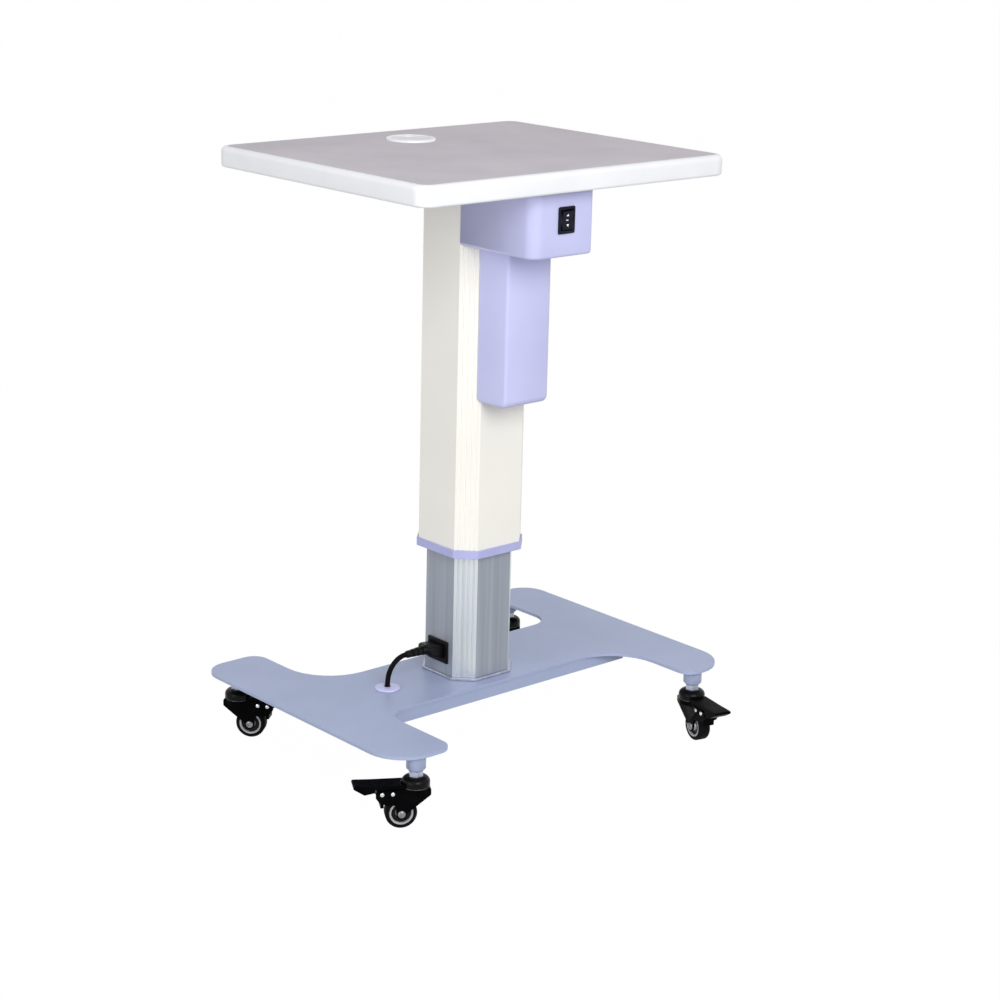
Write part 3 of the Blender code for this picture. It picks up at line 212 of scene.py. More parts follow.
finishLooks = {
    "tabletop_laminate": {"tones": ((198, 192, 201), (208, 202, 210)), "toneScale": 9.0, "flecks": 0.10,
                          "specular": 0.14, "rough": (0.50, 0.62), "roughScale": 60.0,
                          "grain": (1500.0, 0.00002)},
    "white_plastic": {"tones": ((238, 239, 243), (244, 245, 249)), "toneScale": 14.0,
                      "rough": (0.30, 0.40), "roughScale": 80.0, "grain": (1800.0, 0.000015)},
    "grommet_white": {"tones": ((222, 221, 227), (230, 229, 235)), "toneScale": 30.0,
                      "rough": (0.30, 0.40), "roughScale": 80.0, "grain": (1800.0, 0.000015)},
    "cream_coat": {"tones": ((241, 239, 231), (246, 244, 237)), "toneScale": 7.0,
                   "rough": (0.28, 0.38), "roughScale": 90.0, "grain": (900.0, 0.00003)},
    "anodised_aluminium": {"tones": ((148, 154, 165), (164, 170, 180)), "toneScale": 190.0,
                           "stretch": (1.0, 1.0, 0.012), "metallic": 0.25,
                           "rough": (0.34, 0.50), "roughScale": 320.0, "grain": (1400.0, 0.00002)},
    # the fluted chamfers' lighter copy of the anodised finish: a painted highlight
    "bright_flutes": {"tones": ((206, 212, 216), (222, 227, 230)), "toneScale": 150.0,
                      "stretch": (1.0, 1.0, 0.012), "metallic": 0.75,
                      "rough": (0.26, 0.38), "roughScale": 320.0, "grain": (1400.0, 0.00002)},
    "lilac_cover": {"tones": ((197, 199, 240), (205, 207, 246)), "toneScale": 8.0,
                    "rough": (0.36, 0.48), "roughScale": 120.0, "grain": (1300.0, 0.00005)},
    "collar_lilac": {"tones": ((172, 175, 220), (182, 185, 229)), "toneScale": 20.0,
                     "rough": (0.36, 0.48), "roughScale": 120.0, "grain": (1300.0, 0.00005)},
    "lilac_coat": {"tones": ((160, 172, 204), (171, 182, 213)), "toneScale": 6.0, "specular": 0.35,
                   "rough": (0.32, 0.46), "roughScale": 70.0, "grain": (800.0, 0.00006)},
    "black_plastic": {"tones": ((9, 9, 11), (15, 15, 17)), "toneScale": 40.0, "specular": 0.14,
                      "rough": (0.30, 0.42), "roughScale": 150.0, "grain": (1500.0, 0.00003)},
    "caster_black": {"tones": ((3, 3, 4), (7, 7, 8)), "toneScale": 40.0, "specular": 0.02,
                     "rough": (0.30, 0.42), "roughScale": 150.0, "grain": (1500.0, 0.00003)},
    "switch_navy": {"tones": ((10, 13, 27), (16, 19, 35)), "toneScale": 60.0, "specular": 0.14,
                    "rough": (0.30, 0.42), "roughScale": 150.0, "grain": (1500.0, 0.00003)},
    "black_rubber": {"tones": ((8, 8, 9), (14, 14, 14)), "toneScale": 60.0, "specular": 0.06,
                     "rough": (0.55, 0.75), "roughScale": 200.0, "grain": (2200.0, 0.00004)},
    "grey_hub": {"tones": ((158, 158, 163), (182, 182, 186)), "toneScale": 90.0, "metallic": 0.35,
                 "rough": (0.28, 0.40), "roughScale": 200.0, "grain": (2000.0, 0.00001)},
    "zinc_steel": {"tones": ((164, 168, 190), (190, 193, 208)), "toneScale": 160.0, "metallic": 0.6,
                   "rough": (0.28, 0.44), "roughScale": 240.0, "grain": (1500.0, 0.00002)},
    "black_steel": {"tones": ((5, 5, 6), (9, 9, 10)), "toneScale": 50.0, "specular": 0.10, "coat": 0.03,
                    "rough": (0.22, 0.34), "roughScale": 120.0, "grain": (700.0, 0.00004)},
    "bright_steel": {"tones": ((204, 206, 210), (222, 223, 226)), "toneScale": 120.0, "metallic": 0.9,
                     "rough": (0.14, 0.24), "roughScale": 260.0, "grain": (1800.0, 0.00001)},
    "dull_steel": {"tones": ((112, 114, 118), (146, 148, 152)), "toneScale": 300.0, "metallic": 0.8,
                   "rough": (0.26, 0.44), "roughScale": 400.0, "grain": (1800.0, 0.00002)},
    "race_steel": {"tones": ((52, 53, 56), (96, 98, 102)), "toneScale": 240.0, "metallic": 0.7,
                   "rough": (0.30, 0.50), "roughScale": 300.0, "grain": (1800.0, 0.00002)},
    "cast_aluminium": {"tones": ((150, 152, 156), (176, 178, 181)), "toneScale": 110.0, "metallic": 0.8,
                       "rough": (0.44, 0.62), "roughScale": 240.0, "grain": (600.0, 0.00015)},
    "white_glide": {"tones": ((226, 226, 220), (234, 234, 229)), "toneScale": 30.0,
                    "rough": (0.36, 0.46), "roughScale": 150.0, "grain": (1500.0, 0.00002)},
}


toneRamp = (0.32, 0.68)  # share of the noise at which each tone is pure
fleck = {"from": 0.60, "to": 0.72, "scale": 1100.0, "tone": (120, 118, 124)}
coatRough, reliefStrength = 0.12, 0.6


def makeFinish(name, look):
    # Two tones blended by a soft noise, a second noise on the roughness and a fine one as relief.
    material = bpy.data.materials.new(name)
    material.use_nodes = True
    nodes, links = material.node_tree.nodes, material.node_tree.links
    shader = nodes["Principled BSDF"]
    shader.inputs["Metallic"].default_value = look.get("metallic", 0.0)
    shader.inputs["Coat Weight"].default_value = look.get("coat", 0.0)
    shader.inputs["Coat Roughness"].default_value = coatRough
    shader.inputs["Specular IOR Level"].default_value = look.get("specular", 0.5)
    place = nodes.new("ShaderNodeTexCoord")
    spread = nodes.new("ShaderNodeMapping")
    spread.inputs["Scale"].default_value = look.get("stretch", (1.0, 1.0, 1.0))
    links.new(place.outputs["Object"], spread.inputs["Vector"])

    def noise(scale, detail):
        # Value of a noise with that many patches to the metre.
        texture = nodes.new("ShaderNodeTexNoise")
        texture.inputs["Scale"].default_value = scale
        texture.inputs["Detail"].default_value = detail
        links.new(spread.outputs["Vector"], texture.inputs["Vector"])
        return texture.outputs["Fac"]

    tones = nodes.new("ShaderNodeValToRGB")
    for stop, position, tone in zip(tones.color_ramp.elements, toneRamp, look["tones"]):
        stop.position = position
        stop.color = shade(*tone)
    links.new(noise(look["toneScale"], 3.0), tones.inputs["Fac"])
    colour = tones.outputs["Color"]
    if "flecks" in look:
        speck = nodes.new("ShaderNodeMapRange")
        speck.inputs["From Min"].default_value = fleck["from"]
        speck.inputs["From Max"].default_value = fleck["to"]
        speck.inputs["To Max"].default_value = look["flecks"]
        links.new(noise(fleck["scale"], 1.0), speck.inputs["Value"])
        lift = nodes.new("ShaderNodeMix")
        lift.data_type = "RGBA"
        lift.inputs["B"].default_value = shade(*fleck["tone"])
        links.new(speck.outputs["Result"], lift.inputs["Factor"])
        links.new(colour, lift.inputs["A"])
        colour = lift.outputs["Result"]
    links.new(colour, shader.inputs["Base Color"])
    gloss = nodes.new("ShaderNodeMapRange")
    gloss.inputs["To Min"].default_value, gloss.inputs["To Max"].default_value = look["rough"]
    links.new(noise(look["roughScale"], 2.0), gloss.inputs["Value"])
    links.new(gloss.outputs["Result"], shader.inputs["Roughness"])
    relief = nodes.new("ShaderNodeBump")
    relief.inputs["Strength"].default_value = reliefStrength
    relief.inputs["Distance"].default_value = look["grain"][1]
    links.new(noise(look["grain"][0], 2.0), relief.inputs["Height"])
    links.new(relief.outputs["Normal"], shader.inputs["Normal"])
    return material


finishes = {name: makeFinish(name, look) for name, look in finishLooks.items()}
ownFinish = {"collar": "collar_lilac", "grommet_cap": "grommet_white", "switch_bezel": "switch_navy",
             "switch_rocker": "switch_navy"}
for corner in corners:
    ownFinish.update({"caster_fork_" + corner: "caster_black", "brake_pedal_" + corner: "caster_black",
                      "axle_" + corner: "dull_steel"})
finishOf = {node: finishes[ownFinish.get(node, slot)] for node, slot in slotOf.items()}
for node, item in frame["nodes"].items():
    item.data.materials.clear()
    item.data.materials.append(finishOf[node])
print("finishes made:", len(finishes))


# Lead from the base up to its plug

lead = {
    "diameter": 0.0064,
    "sides": 20,
    # from the grommet in the base up to the plug's neck, beside the column's axis
    "route": column + np.array([
        (-0.1300, 0.0, 0.0820), (-0.1300, 0.0, 0.0920), (-0.1297, 0.0, 0.1020), (-0.1275, 0.0, 0.1122),
        (-0.1220, 0.0, 0.1211), (-0.1143, 0.0, 0.1273), (-0.1068, 0.0, 0.1301), (-0.1030, 0.0, 0.1305)]),
}


def smoothRoute(route, steps=6):
    # Catmull-Rom curve: each stretch is a cubic through its two points, aimed by their neighbours.
    ends = np.vstack([2 * route[:1] - route[1:2], route, 2 * route[-1:] - route[-2:-1]])
    a, b, c, d = ends[:-3, None], ends[1:-2, None], ends[2:-1, None], ends[3:, None]
    t = (np.arange(steps) / steps)[None, :, None]
    curve = 0.5 * (2 * b + (c - a) * t + (2 * a - 5 * b + 4 * c - d) * t ** 2
                   + (3 * b - a - 3 * c + d) * t ** 3)
    return np.vstack([curve.reshape(-1, 3), route[-1:]])


def tubePoints(path, radii, sides, across=(0.0, 1.0, 0.0)):
    # A circle in the plane square to the path at each of its points, the ends drawn to a pole.
    way = np.gradient(path, axis=0)
    way /= np.linalg.norm(way, axis=1, keepdims=True)
    side = np.broadcast_to(np.asarray(across, float), path.shape)
    other = np.cross(way, side)
    angle = np.linspace(0.0, 2.0 * np.pi, sides, endpoint=False)
    rings = (path[:, None] + radii[:, None, None] * (
        np.cos(angle)[None, :, None] * side[:, None] + np.sin(angle)[None, :, None] * other[:, None]))
    first = np.broadcast_to(path[0], (1, sides, 3))
    last = np.broadcast_to(path[-1], (1, sides, 3))
    return np.concatenate([first, rings, last])


leadPath = smoothRoute(lead["route"])
leadRadii = np.full(len(leadPath), lead["diameter"] / 2)
leadPoints = tubePoints(leadPath, leadRadii, lead["sides"])
leadMesh = closeMesh(gridMesh("mainsLead", leadPoints, wrapRows=False))
mainsLead = addPiece("mainsLead", leadMesh, [finishes["black_rubber"]], "base",
                     ["power_cord"])
leadGrommet = {
    "centre": column + (-0.130, 0.0, 0.0933),
    "bore": 0.0040,
    "crown": 0.0096,
    "flange": 0.0160,
    "rise": 0.0026,
    "edge": 0.0005,
    "sleeve": 0.0092,
    "depth": 0.0100,
    "lip": 0.0005,
    "turns": 72,
}


def leadGrommetProfile(size):
    # A soft lip at the bore, a quarter ellipse down to the flange's edge, then in and down the sleeve.
    bore, rise, lip, depth = size["bore"], size["rise"], size["lip"], size["depth"]
    return np.vstack([
        arc(bore + lip, rise - lip, lip, 180, 90, 4),
        dome(size["crown"], rise, size["flange"], size["edge"]),
        [(size["flange"], 0.0), (size["sleeve"], 0.0), (size["sleeve"], -depth), (bore, -depth)],
    ])


leadGrommetCurve = leadGrommetProfile(leadGrommet)
leadGrommetPoints = turnedPoints(leadGrommetCurve, leadGrommet["centre"], upright, leadGrommet["turns"])
leadGrommetMesh = gridMesh("leadGrommet", leadGrommetPoints)
addPiece("leadGrommet", closeMesh(leadGrommetMesh), [finishes["lilac_cover"]], "base",
         ["cord_grommet"])


# Table top: the moulded band, with its rounded rim carried round the board

band = {
    "centre": column[:2] + (0.0, 0.010),
    "half": (0.240, 0.198),
    "corner": 0.020,
    "cornerSteps": 14,
    "top": tableTop,
    "underside": tableUnderside,
    "width": 0.008,
    "upperRound": 0.0065,
    "lowerRound": 0.0035,
    "sharp": 50.0,  # degrees between two faces from which their edge stays crisp
}


def bandPoints(size):
    # The rim's profile (inset, height) carried along a rounded rectangle, inset along its normals.
    upper, lower, width = size["upperRound"], size["lowerRound"], size["width"]
    profile = np.vstack([
        [(width, size["top"])],
        arc(upper, size["top"] - upper, upper, 90, 180, 10),
        arc(lower, size["underside"] + lower, lower, 180, 270, 7),
        [(width, size["underside"])],
    ])
    quarter = np.radians(np.linspace(0.0, 90.0, size["cornerSteps"] + 1))
    turns = np.radians([0.0, 90.0, 180.0, 270.0])
    angle = (turns[:, None] + quarter[None]).ravel()
    normal = np.column_stack([np.cos(angle), np.sin(angle)])
    signs = np.repeat(np.array([(1, 1), (-1, 1), (-1, -1), (1, -1)]), len(quarter), axis=0)
    reach = np.array(size["half"]) - size["corner"]
    rim = np.array(size["centre"]) + signs * reach + normal * size["corner"]
    flat = rim[None] - normal[None] * profile[:, None, 0:1]
    height = np.broadcast_to(profile[:, None, 1:2], flat.shape[:2] + (1,))
    return np.concatenate([flat, height], axis=2)


bandMesh = closeMesh(gridMesh("edgeBandMoulded", bandPoints(band)), band["sharp"])
addPiece("edgeBandMoulded", bandMesh, [finishes["white_plastic"]], "lift", ["edge_band"])

grommet = {
    "centre": column + (-0.005, 0.122, tableTop),
    "flange": 0.0315,
    "sleeve": 0.0270,
    "bore": 0.0250,
    "rise": 0.0028,
    "depth": 0.0200,
    "ledge": 0.0022,
    "capThickness": 0.0050,
    "capDrop": 0.0008,
    "gap": 0.0003,
    "seat": -0.0003,
    "lip": 0.0006,
    "capRound": 0.0008,
    "dish": (0.72, 0.76),  # where the cap's dish ends and where its rim's hump stands, as shares of the edge
    "hump": (0.0009, 0.0017),  # how deep the hump's centre lies and its radius
    "turns": 96,
}


def grommetProfiles(size):
    # The ring has a soft lip, a quarter round flange, a sleeve and a ledge for the cap.
    # The cap is a disc with a shallow dish, a hump round it and a rounded rim.
    rise, bore, flange, gap, seat = size["rise"], size["bore"], size["flange"], size["gap"], size["seat"]
    sleeve, depth, ledge, lip = size["sleeve"], size["depth"], size["ledge"], size["lip"]
    capTop = rise - size["capDrop"]
    capFoot = capTop - size["capThickness"]
    shelf = capFoot - gap
    soft = rise - gap
    ring = np.vstack([
        arc(bore + lip, rise - lip, lip, 180, 90, 3),
        arc(flange - soft, gap, soft, 90, 0, 8),
        [(flange, seat), (sleeve, seat), (sleeve, -depth), (bore, -depth), (bore, shelf - ledge),
         (bore - ledge, shelf - ledge / 2), (bore - ledge, shelf), (bore, shelf)],
    ])
    edge, rim = bore - gap, size["capRound"]
    floor = capTop - size["capDrop"]
    dishEnd, humpPlace = np.array(size["dish"]) * edge
    humpDepth, humpRadius = size["hump"]
    cap = np.vstack([
        [(0.0, floor), (dishEnd, floor)],
        arc(humpPlace, floor - humpDepth, humpRadius, 118, 90, 2),
        arc(edge - rim, capTop - rim, rim, 90, 0, 4),
        [(edge, capFoot), (0.0, capFoot)],
    ])
    return ring, cap


ringProfile, capProfile = grommetProfiles(grommet)
ringPoints = turnedPoints(ringProfile, grommet["centre"], upright, grommet["turns"])
ringMesh = gridMesh("cableGrommetRing", ringPoints)
addPiece("cableGrommetRing", closeMesh(ringMesh), [finishes["white_plastic"]], "lift",
         ["grommet_ring"])
capPoints = turnedPoints(capProfile, grommet["centre"], upright, grommet["turns"])
capMesh = gridMesh("cableGrommetCap", capPoints, wrapRows=False)
addPiece("cableGrommetCap", closeMesh(capMesh), [finishOf["grommet_cap"]], "cap",
         ["grommet_cap"])

bracketScrews = {
    "places": [(x, y) for x in (-0.081, 0.081) for y in (-0.0203, 0.0740)],
    "seat": 0.7225,
    "head": 0.0052,
    "rise": 0.0022,
    "socket": 0.0018,
    "socketFoot": (0.7, 0.35),  # its share of the socket's radius, and its height as a share of the rise
    "socketLip": (0.0004, 0.94),  # how far beyond the socket the crown starts, and the socket's upper height
    "side": 0.30,  # height of the head's upright side, as a share of the rise
    "turns": 36,
}


def screwProfile(size):
    # From the middle of the socket out over the head to its seat, heights counted down from the seat.
    rise, socket = size["rise"], size["socket"]
    footShare, footHeight = size["socketFoot"]
    lip, lipHeight = size["socketLip"]
    return np.vstack([
        [(0.0, -rise * footHeight), (socket * footShare, -rise * footHeight), (socket, -rise * lipHeight)],
        dome(socket + lip, -rise, size["head"], -rise * size["side"], 6),
        [(size["head"], 0.0), (0.0, 0.0)],
    ])


screwCurve = screwProfile(bracketScrews)
for number, (screwX, screwY) in enumerate(bracketScrews["places"], 1):
    screwCentre = column + (screwX, screwY, bracketScrews["seat"])
    screwPoints = turnedPoints(screwCurve, screwCentre, upright, bracketScrews["turns"])
    screwMesh = closeMesh(gridMesh("bracketScrew", screwPoints, wrapRows=False))
    addPiece("bracketScrew_" + str(number), screwMesh, [finishes["zinc_steel"]], "lift")
print("table top dressed")


# Housings, base and column pieces: the CAD shapes with smooth curves and eased edges

easedPieces = {
    "base_plate": {"piece": "basePlateCoated", "sharp": 40.0, "ease": 0.0007},
    "cross_beam": {"piece": "crossBeamCoated", "sharp": 40.0, "ease": 0.0006},
    "control_box": {"piece": "controlBoxMoulded", "sharp": 46.0},
    "motor_cover": {"piece": "motorCoverMoulded", "sharp": 46.0},
    "collar": {"piece": "collarMoulded", "sharp": 30.0, "ease": 0.0006},
    "column_foot": {"piece": "columnFootPlate", "sharp": 30.0},
    "inner_column": {"piece": "innerColumnExtruded", "sharp": 20.0, "flutes": True},
    "outer_column": {"piece": "outerColumnCoated", "sharp": 20.0},
    "inlet_socket": {"piece": "inletMoulded", "sharp": 40.0},
    "power_plug": {"piece": "plugMoulded", "sharp": 46.0},
    "switch_bezel": {"piece": "bezelMoulded", "sharp": 46.0},
    "switch_rocker": {"piece": "rockerMoulded", "sharp": 30.0, "ease": 0.0003},
    "rod_bracket": {"piece": "rodBracketPressed", "sharp": 40.0},
    "drive_motor": {"piece": "driveMotorCase", "sharp": 40.0},
    "gear_case": {"piece": "gearCaseCast", "sharp": 46.0},
}
softEdge = {"segments": 2, "angle": 50.0}
forkRivet = {"share": 0.0281 / 0.0406, "head": 0.0030, "cheek": 0.01102}  # share of the way to the pin
flutedChamfer = {"off": 0.0270, "reach": 0.0760}  # least distance from an axis, most sum of the two
for corner in corners:
    easedPieces["caster_fork_" + corner] = {"piece": "forkPressed_" + corner, "sharp": 40.0, "ease": 0.0004,
                                            "rivet": corner}
    easedPieces["brake_pedal_" + corner] = {"piece": "pedalMoulded_" + corner, "sharp": 40.0, "ease": 0.0012}
    easedPieces["caster_stem_" + corner] = {"piece": "stemTurned_" + corner, "sharp": 40.0}


def addEased(node, look):
    # The node's own shape, joined and shaded, with a small bevel where the look asks for one.
    mesh = mergedCopy(node, look["sharp"])
    piece = addPiece(look["piece"], mesh, [finishOf[node]], bodyOf[node], [node])
    if "rivet" in look:
        brightenRivet(mesh, look["rivet"])
    if "flutes" in look:
        # the chamfers get a painted highlight
        paintFlutesHighlight(mesh)
    if "ease" in look:
        ease = piece.modifiers.new("ease", "BEVEL")
        ease.width = look["ease"]
        ease.segments = softEdge["segments"]
        ease.limit_method = "ANGLE"
        ease.angle_limit = math.radians(softEdge["angle"])
        ease.harden_normals = True


def faceMiddles(mesh):
    # The middle of every face, one row each.
    middles = np.zeros(3 * len(mesh.polygons), np.float32)
    mesh.polygons.foreach_get("center", middles)
    return middles.reshape(-1, 3)


def paintFlutesHighlight(mesh):
    # The fluted chamfers stand off both of the column's flat directions: they get a lighter, more metallic copy of
    # the column's finish, a painted highlight for the light that falls on them.
    away = np.abs(faceMiddles(mesh) - column)[:, :2]
    chamfer = (away.min(axis=1) > flutedChamfer["off"]) & (away.sum(axis=1) < flutedChamfer["reach"])
    mesh.materials.append(finishes["bright_flutes"])
    mesh.polygons.foreach_set("material_index", chamfer.astype(np.int32))


def brightenRivet(mesh, corner):
    # The fork's fixed rivet lies on the line from the stem to the pedal's pin: its heads are bare steel.
    axis = np.array(joints["brake_" + corner]["axis"])
    pin = np.array(joints["brake_" + corner]["pos_m"])
    stem = np.array(joints["swivel_" + corner]["pos_m"]) * (1, 1, 0) + (0, 0, pin[2])
    rivet = stem + (pin - stem) * forkRivet["share"]
    away = faceMiddles(mesh) - rivet
    along = away @ axis
    radial = np.linalg.norm(away - along[:, None] * axis, axis=1)
    bright = (radial < forkRivet["head"]) & (np.abs(along) > forkRivet["cheek"])
    mesh.materials.append(finishes["bright_steel"])
    mesh.polygons.foreach_set("material_index", bright.astype(np.int32))


for node, look in easedPieces.items():
    addEased(node, look)
# the lead's plug is one of these pieces
print("housings, base and casters eased:", len(easedPieces))


# Casters: wheels, raceway rings and rivets turned round their own axes

wheel = {
    "radius": 0.019,
    "tyreHalf": 0.008,
    "tyreInner": 0.0146,
    "shoulder": 0.0030,
    "treadCurve": 0.030,
    "rimOuter": 0.0144,
    "rimInner": 0.0114,
    "hubHalf": 0.0084,
    "webHalf": 0.0046,
    "bossRadius": 0.0062,
    "bore": 0.0034,
    "soft": 0.0006,
    "webRound": (0.0008, 0.0012),  # the step from the web up to the rim, inwards and upwards
    "rimHeights": (0.90, 0.93, 0.86),  # inner edge, outer edge and outermost point, as shares of hubHalf
    "tyreTurns": 96,
    "hubTurns": 72,
    "tyreSharp": 50.0,
    "hubSharp": 35.0,
}
rivets = {
    "forkHalf": 0.0110,
    "gap": 0.0003,
    "axle": (0.0030, 0.0046, 0.0016),  # shank, head and rise
    "pedal_pin": (0.0015, 0.0026, 0.0010),
    # from the punched centre out over the crown: shares of the head's radius and of its rise
    "crown": ((0.0, 0.55), (0.34, 0.55), (0.42, 1.0), (0.70, 0.86), (0.93, 0.45), (1.0, 0.0)),
    "turns": 36,
    "sharp": 50.0,
}
raceway = {"height": 0.05065, "radius": 0.0163, "thickness": 0.0005, "sides": 10, "turns": 72}
swivelCap = {"bore": 0.0053, "crown": 0.0092, "reach": 0.0168, "low": 0.0508, "high": 0.0624, "skirt": 0.0052,
             "foot": 0.0006, "turns": 72, "sharp": 50.0}


def swivelCapProfile(size):
    # A domed shell: level crown, quarter ellipse, short upright skirt with a small round at its foot.
    foot = size["foot"]
    return np.vstack([
        [(size["bore"], size["high"])],
        dome(size["crown"], size["high"], size["reach"], size["low"] + size["skirt"], 10),
        arc(size["reach"] - foot, size["low"] + foot, foot, 0, -90, 3),
        [(size["bore"], size["low"])],
    ])


def tyreProfile(size):
    # From the inner edge over a round shoulder to a slightly crowned tread, then the same mirrored.
    outer, half, shoulder, curve = size["radius"], size["tyreHalf"], size["shoulder"], size["treadCurve"]
    upper = arc(outer - shoulder, half - shoulder, shoulder, 90, 12, 7)
    crown = arc(outer - curve, 0.0, curve, 7.0, 0.0, 3)
    upper = np.vstack([[(size["tyreInner"], half)], upper, crown[1:]])
    return np.vstack([upper, (upper * (1, -1))[::-1][1:]])


def hubProfile(size):
    # Out over one face from the bore to the rim and back over the other, with each stretch's finish.
    rim, lip, web, half = size["rimOuter"], size["rimInner"], size["webHalf"], size["hubHalf"]
    boss, soft = size["bossRadius"], size["soft"]
    stepIn, stepUp = size["webRound"]
    innerEdge, outerEdge, outermost = half * np.array(size["rimHeights"])
    upper = np.array([
        (size["bore"], half), (boss - soft, half), (boss, half - soft), (boss + soft, web),
        (lip - stepIn, web), (lip, web + stepUp), (lip + soft, innerEdge), (rim - soft, outerEdge),
        (rim, outermost),
    ])
    slots = np.array([0, 0, 0, 1, 1, 0, 0, 0, 0])  # 1 is the dark web
    slots = np.concatenate([slots, slots[:-1][::-1], [0]])
    return np.vstack([upper, (upper * (1, -1))[::-1]]), slots


def rivetProfile(shank, head, rise, size):
    # A domed head with a punched centre at each end of a pin.
    end = size["forkHalf"] + size["gap"]
    crown = np.array(size["crown"]) * (head, rise) + (0.0, end)
    upper = np.vstack([crown, [(shank, end)]])
    return np.vstack([upper, (upper * (1, -1))[::-1]])


tyreCurve = tyreProfile(wheel)
hubCurve, hubSlots = hubProfile(wheel)
raceCurve = arc(raceway["radius"], 0.0, raceway["thickness"], 0, 360, raceway["sides"])[:-1]
swivelCapCurve = swivelCapProfile(swivelCap)
for corner in corners:
    roll = joints["roll_" + corner]
    middle, axis = roll["pos_m"], roll["axis"]
    tyreMesh = gridMesh("tyreTurned", turnedPoints(tyreCurve, middle, axis, wheel["tyreTurns"]))
    addPiece("tyreTurned_" + corner, closeMesh(tyreMesh, wheel["tyreSharp"]), [finishes["black_rubber"]],
             "wheel_" + corner, ["tyre_" + corner])
    hubPoints = turnedPoints(hubCurve, middle, axis, wheel["hubTurns"])
    hubMesh = closeMesh(gridMesh("hubTurned", hubPoints, slots=hubSlots), wheel["hubSharp"])
    addPiece("hubTurned_" + corner, hubMesh, [finishes["grey_hub"], finishes["black_plastic"]],
             "wheel_" + corner, ["hub_" + corner])
    for kind, joint in (("axle", roll), ("pedal_pin", joints["brake_" + corner])):
        node = kind + "_" + corner
        pinCurve = rivetProfile(*rivets[kind], rivets)
        pinPoints = turnedPoints(pinCurve, joint["pos_m"], axis, rivets["turns"])
        pinMesh = closeMesh(gridMesh("pinTurned", pinPoints, wrapRows=False), rivets["sharp"])
        addPiece("pinTurned_" + node, pinMesh, [finishOf[node]], "caster_" + corner, [node])
    stem = np.array(joints["swivel_" + corner]["pos_m"])
    racePoints = turnedPoints(raceCurve, (stem[0], stem[1], raceway["height"]), upright, raceway["turns"])
    raceMesh = closeMesh(gridMesh("racewayRing", racePoints))
    addPiece("racewayRing_" + corner, raceMesh, [finishes["race_steel"]], "base")
    shellPoints = turnedPoints(swivelCapCurve, (stem[0], stem[1], 0.0), upright, swivelCap["turns"])
    shellMesh = closeMesh(gridMesh("swivelCap", shellPoints), swivelCap["sharp"])
    addPiece("swivelCap_" + corner, shellMesh, [finishes["black_steel"]], "base",
             ["caster_cap_" + corner])
print("casters turned")


# Marks on the rocker: up, stop and down

rockerMarks = {
    "centreX": column[0] - 0.0048,
    "spacing": 0.0062,
    "width": 0.0042,
    "height": 0.0030,
    "bar": (0.8, 0.35),  # the stop mark's shares of that width and height
    "proud": 0.00008,
    "sunk": 0.0003,
    "steps": 6,
    "sharp": 30.0,
    "faceDepth": 0.0035,  # how far behind the rocker's foremost point its face reaches
}


def markOutline(shape, steps):
    # Points spread evenly along the sides of a small closed shape.
    here = np.array(shape, float)
    after = np.roll(here, -1, axis=0)
    share = (np.arange(steps) / steps)[None, :, None]
    return (here[:, None] * (1 - share) + after[:, None] * share).reshape(-1, 2)


def markPoints(outline, size):
    # Front and back copies of the outline, laid on the rocker's dished face, each drawn to its middle.
    rocker = frame["nodes"]["switch_rocker"].data
    spots = np.zeros(3 * len(rocker.vertices), np.float32)
    rocker.vertices.foreach_get("co", spots)
    spots = spots.reshape(-1, 3).astype(float)
    front = spots[spots[:, 1] < spots[:, 1].min() + size["faceDepth"]]
    front = front[np.argsort(front[:, 2])]
    middle = np.broadcast_to(outline.mean(axis=0), outline.shape)
    rows = []
    for shape, offset in ((middle, -size["proud"]), (outline, -size["proud"]), (outline, size["sunk"]),
                          (middle, size["sunk"])):
        face = np.interp(shape[:, 1], front[:, 2], front[:, 1])
        rows.append(np.column_stack([shape[:, 0], face + offset, shape[:, 1]]))
    return np.array(rows)


def buildMarks(size):
    # A triangle that points up, a bar and a triangle that points down, evenly spaced.
    rockerLow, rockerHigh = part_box("switch_rocker")
    centre = np.array([size["centreX"], (rockerLow[2] + rockerHigh[2]) / 2])
    half, rise = size["width"] / 2, size["height"] / 2
    barHalf, barRise = half * size["bar"][0], rise * size["bar"][1]
    shapes = {
        "markUp": [(-half, -rise), (half, -rise), (0.0, rise)],
        "markStop": [(-barHalf, -barRise), (barHalf, -barRise), (barHalf, barRise), (-barHalf, barRise)],
        "markDown": [(-half, rise), (half, rise), (0.0, -rise)],
    }
    for (name, shape), step in zip(shapes.items(), (1, 0, -1)):
        outline = markOutline(shape, size["steps"]) + centre + (0.0, step * size["spacing"])
        mesh = closeMesh(gridMesh(name, markPoints(outline, size), wrapRows=False), size["sharp"])
        addPiece(name, mesh, [finishes["white_plastic"]], "rocker")


buildMarks(rockerMarks)
print("rocker marked")


# Stage and light

stage = {
    "floorHalf": 12.0,
    "whiteShare": 0.977,  # share of plain white that the camera sees on the floor, the rest is lit
    "white": 1.013,  # strength of that white, which brings the lit floor to plain white
    "floorTone": 0.50,
    "worldLight": 0.50,
    "lampAim": 0.4,
    "lamps": {
        "keyLamp": {"towards": (-0.320, -0.820, 0.470), "distance": 3.0, "size": 1.8, "power": 55.0},
        "sideLamp": {"towards": (-0.965, -0.140, 0.110), "distance": 3.2, "size": 1.6, "power": 21.0},
    },
}


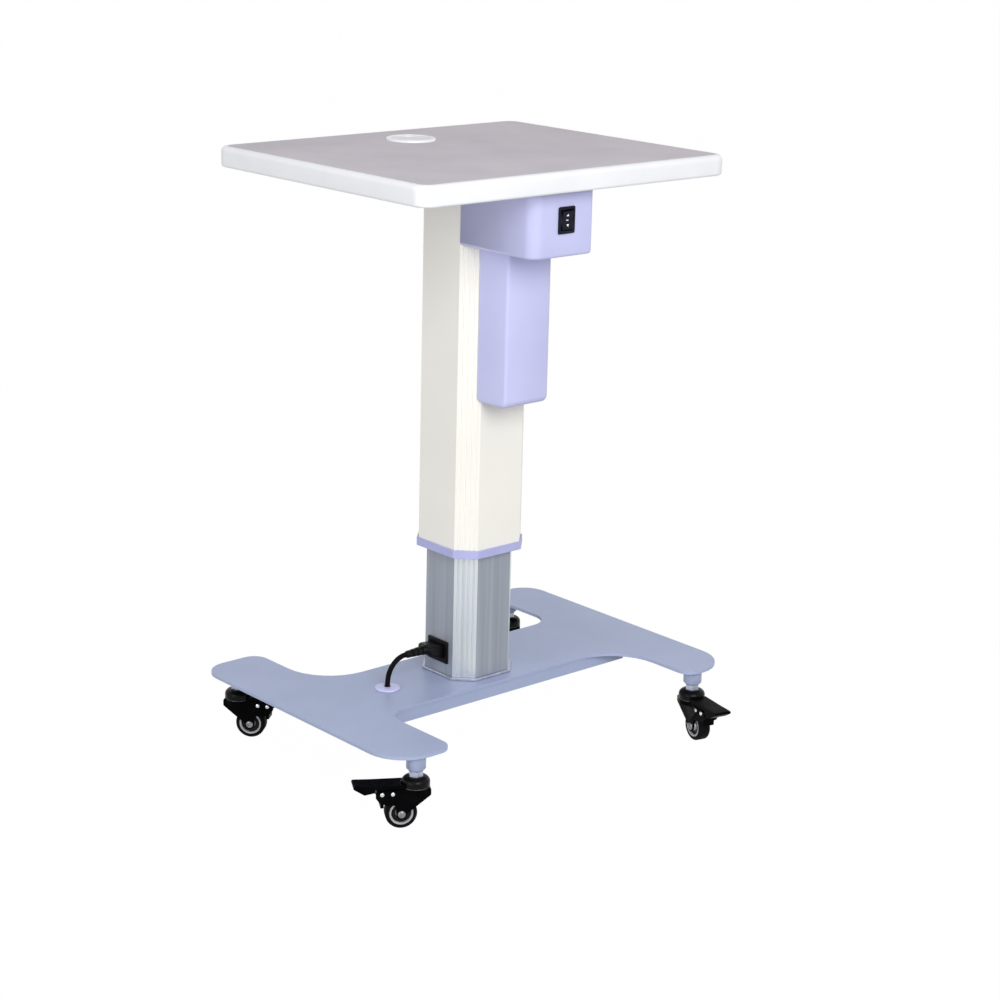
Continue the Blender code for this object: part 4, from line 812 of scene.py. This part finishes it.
def buildStage(look):
    # The floor shows its own white to the camera and keeps a small share of its lit side and shadow.
    half = look["floorHalf"]
    mesh = gridMesh("floor", np.array([[(-half, -half, 0.0), (half, -half, 0.0)],
                                       [(-half, half, 0.0), (half, half, 0.0)]]), False, False)
    floor = bpy.data.objects.new("floor", mesh)
    scene.collection.objects.link(floor)
    material = bpy.data.materials.new("floorWhite")
    material.use_nodes = True
    nodes, links = material.node_tree.nodes, material.node_tree.links
    nodes.clear()
    path = nodes.new("ShaderNodeLightPath")
    paint = nodes.new("ShaderNodeBsdfDiffuse")
    paint.inputs["Color"].default_value = (look["floorTone"],) * 3 + (1.0,)
    white = nodes.new("ShaderNodeEmission")
    white.inputs["Strength"].default_value = look["white"]
    share = nodes.new("ShaderNodeMath")
    share.operation = "MULTIPLY"
    share.inputs[1].default_value = look["whiteShare"]
    seen = seenDirectly(nodes, links, path)
    mix = nodes.new("ShaderNodeMixShader")
    out = nodes.new("ShaderNodeOutputMaterial")
    links.new(seen, share.inputs[0])
    links.new(share.outputs["Value"], mix.inputs["Fac"])
    links.new(paint.outputs["BSDF"], mix.inputs[1])
    links.new(white.outputs["Emission"], mix.inputs[2])
    links.new(mix.outputs["Shader"], out.inputs["Surface"])
    mesh.materials.append(material)


def seenDirectly(nodes, links, path):
    # 1 for rays from the camera, in mirrors and through glass, 0 for light that bounces.
    total = path.outputs["Is Camera Ray"]
    for kind in ("Is Glossy Ray", "Is Transmission Ray"):
        larger = nodes.new("ShaderNodeMath")
        larger.operation = "MAXIMUM"
        links.new(total, larger.inputs[0])
        links.new(path.outputs[kind], larger.inputs[1])
        total = larger.outputs["Value"]
    return total


def buildWorld(look):
    # Plain white where the world is seen, and a softer white as light on everything else.
    world = bpy.data.worlds.new("studio")
    scene.world = world
    world.use_nodes = True
    nodes, links = world.node_tree.nodes, world.node_tree.links
    nodes.clear()
    path = nodes.new("ShaderNodeLightPath")
    soft = nodes.new("ShaderNodeBackground")
    soft.inputs["Strength"].default_value = look["worldLight"]
    soft.inputs["Color"].default_value = (1.0, 1.0, 1.0, 1.0)
    white = nodes.new("ShaderNodeBackground")
    white.inputs["Color"].default_value = (1.0, 1.0, 1.0, 1.0)
    mix = nodes.new("ShaderNodeMixShader")
    out = nodes.new("ShaderNodeOutputWorld")
    links.new(seenDirectly(nodes, links, path), mix.inputs["Fac"])
    links.new(soft.outputs["Background"], mix.inputs[1])
    links.new(white.outputs["Background"], mix.inputs[2])
    links.new(mix.outputs["Shader"], out.inputs["Surface"])


def buildLamp(name, look):
    # A round lamp that faces the object's middle from the given direction.
    towards = np.array(look["towards"]) / np.linalg.norm(look["towards"])
    lamp = bpy.data.lights.new(name, "AREA")
    lamp.shape = "DISK"
    lamp.size = look["size"]
    lamp.energy = look["power"]
    lampObject = bpy.data.objects.new(name, lamp)
    scene.collection.objects.link(lampObject)
    side = np.cross(upright, towards)
    side /= np.linalg.norm(side)
    pose = np.eye(4)
    pose[:3, :3] = np.column_stack([side, np.cross(towards, side), towards])
    pose[:3, 3] = column + (0.0, 0.0, stage["lampAim"]) + towards * look["distance"]
    lampObject.matrix_world = Matrix(pose.tolist())


buildStage(stage)
buildWorld(stage)
for lampName, lampLook in stage["lamps"].items():
    buildLamp(lampName, lampLook)
scene.view_settings.view_transform = "Standard"
print("stage lit")
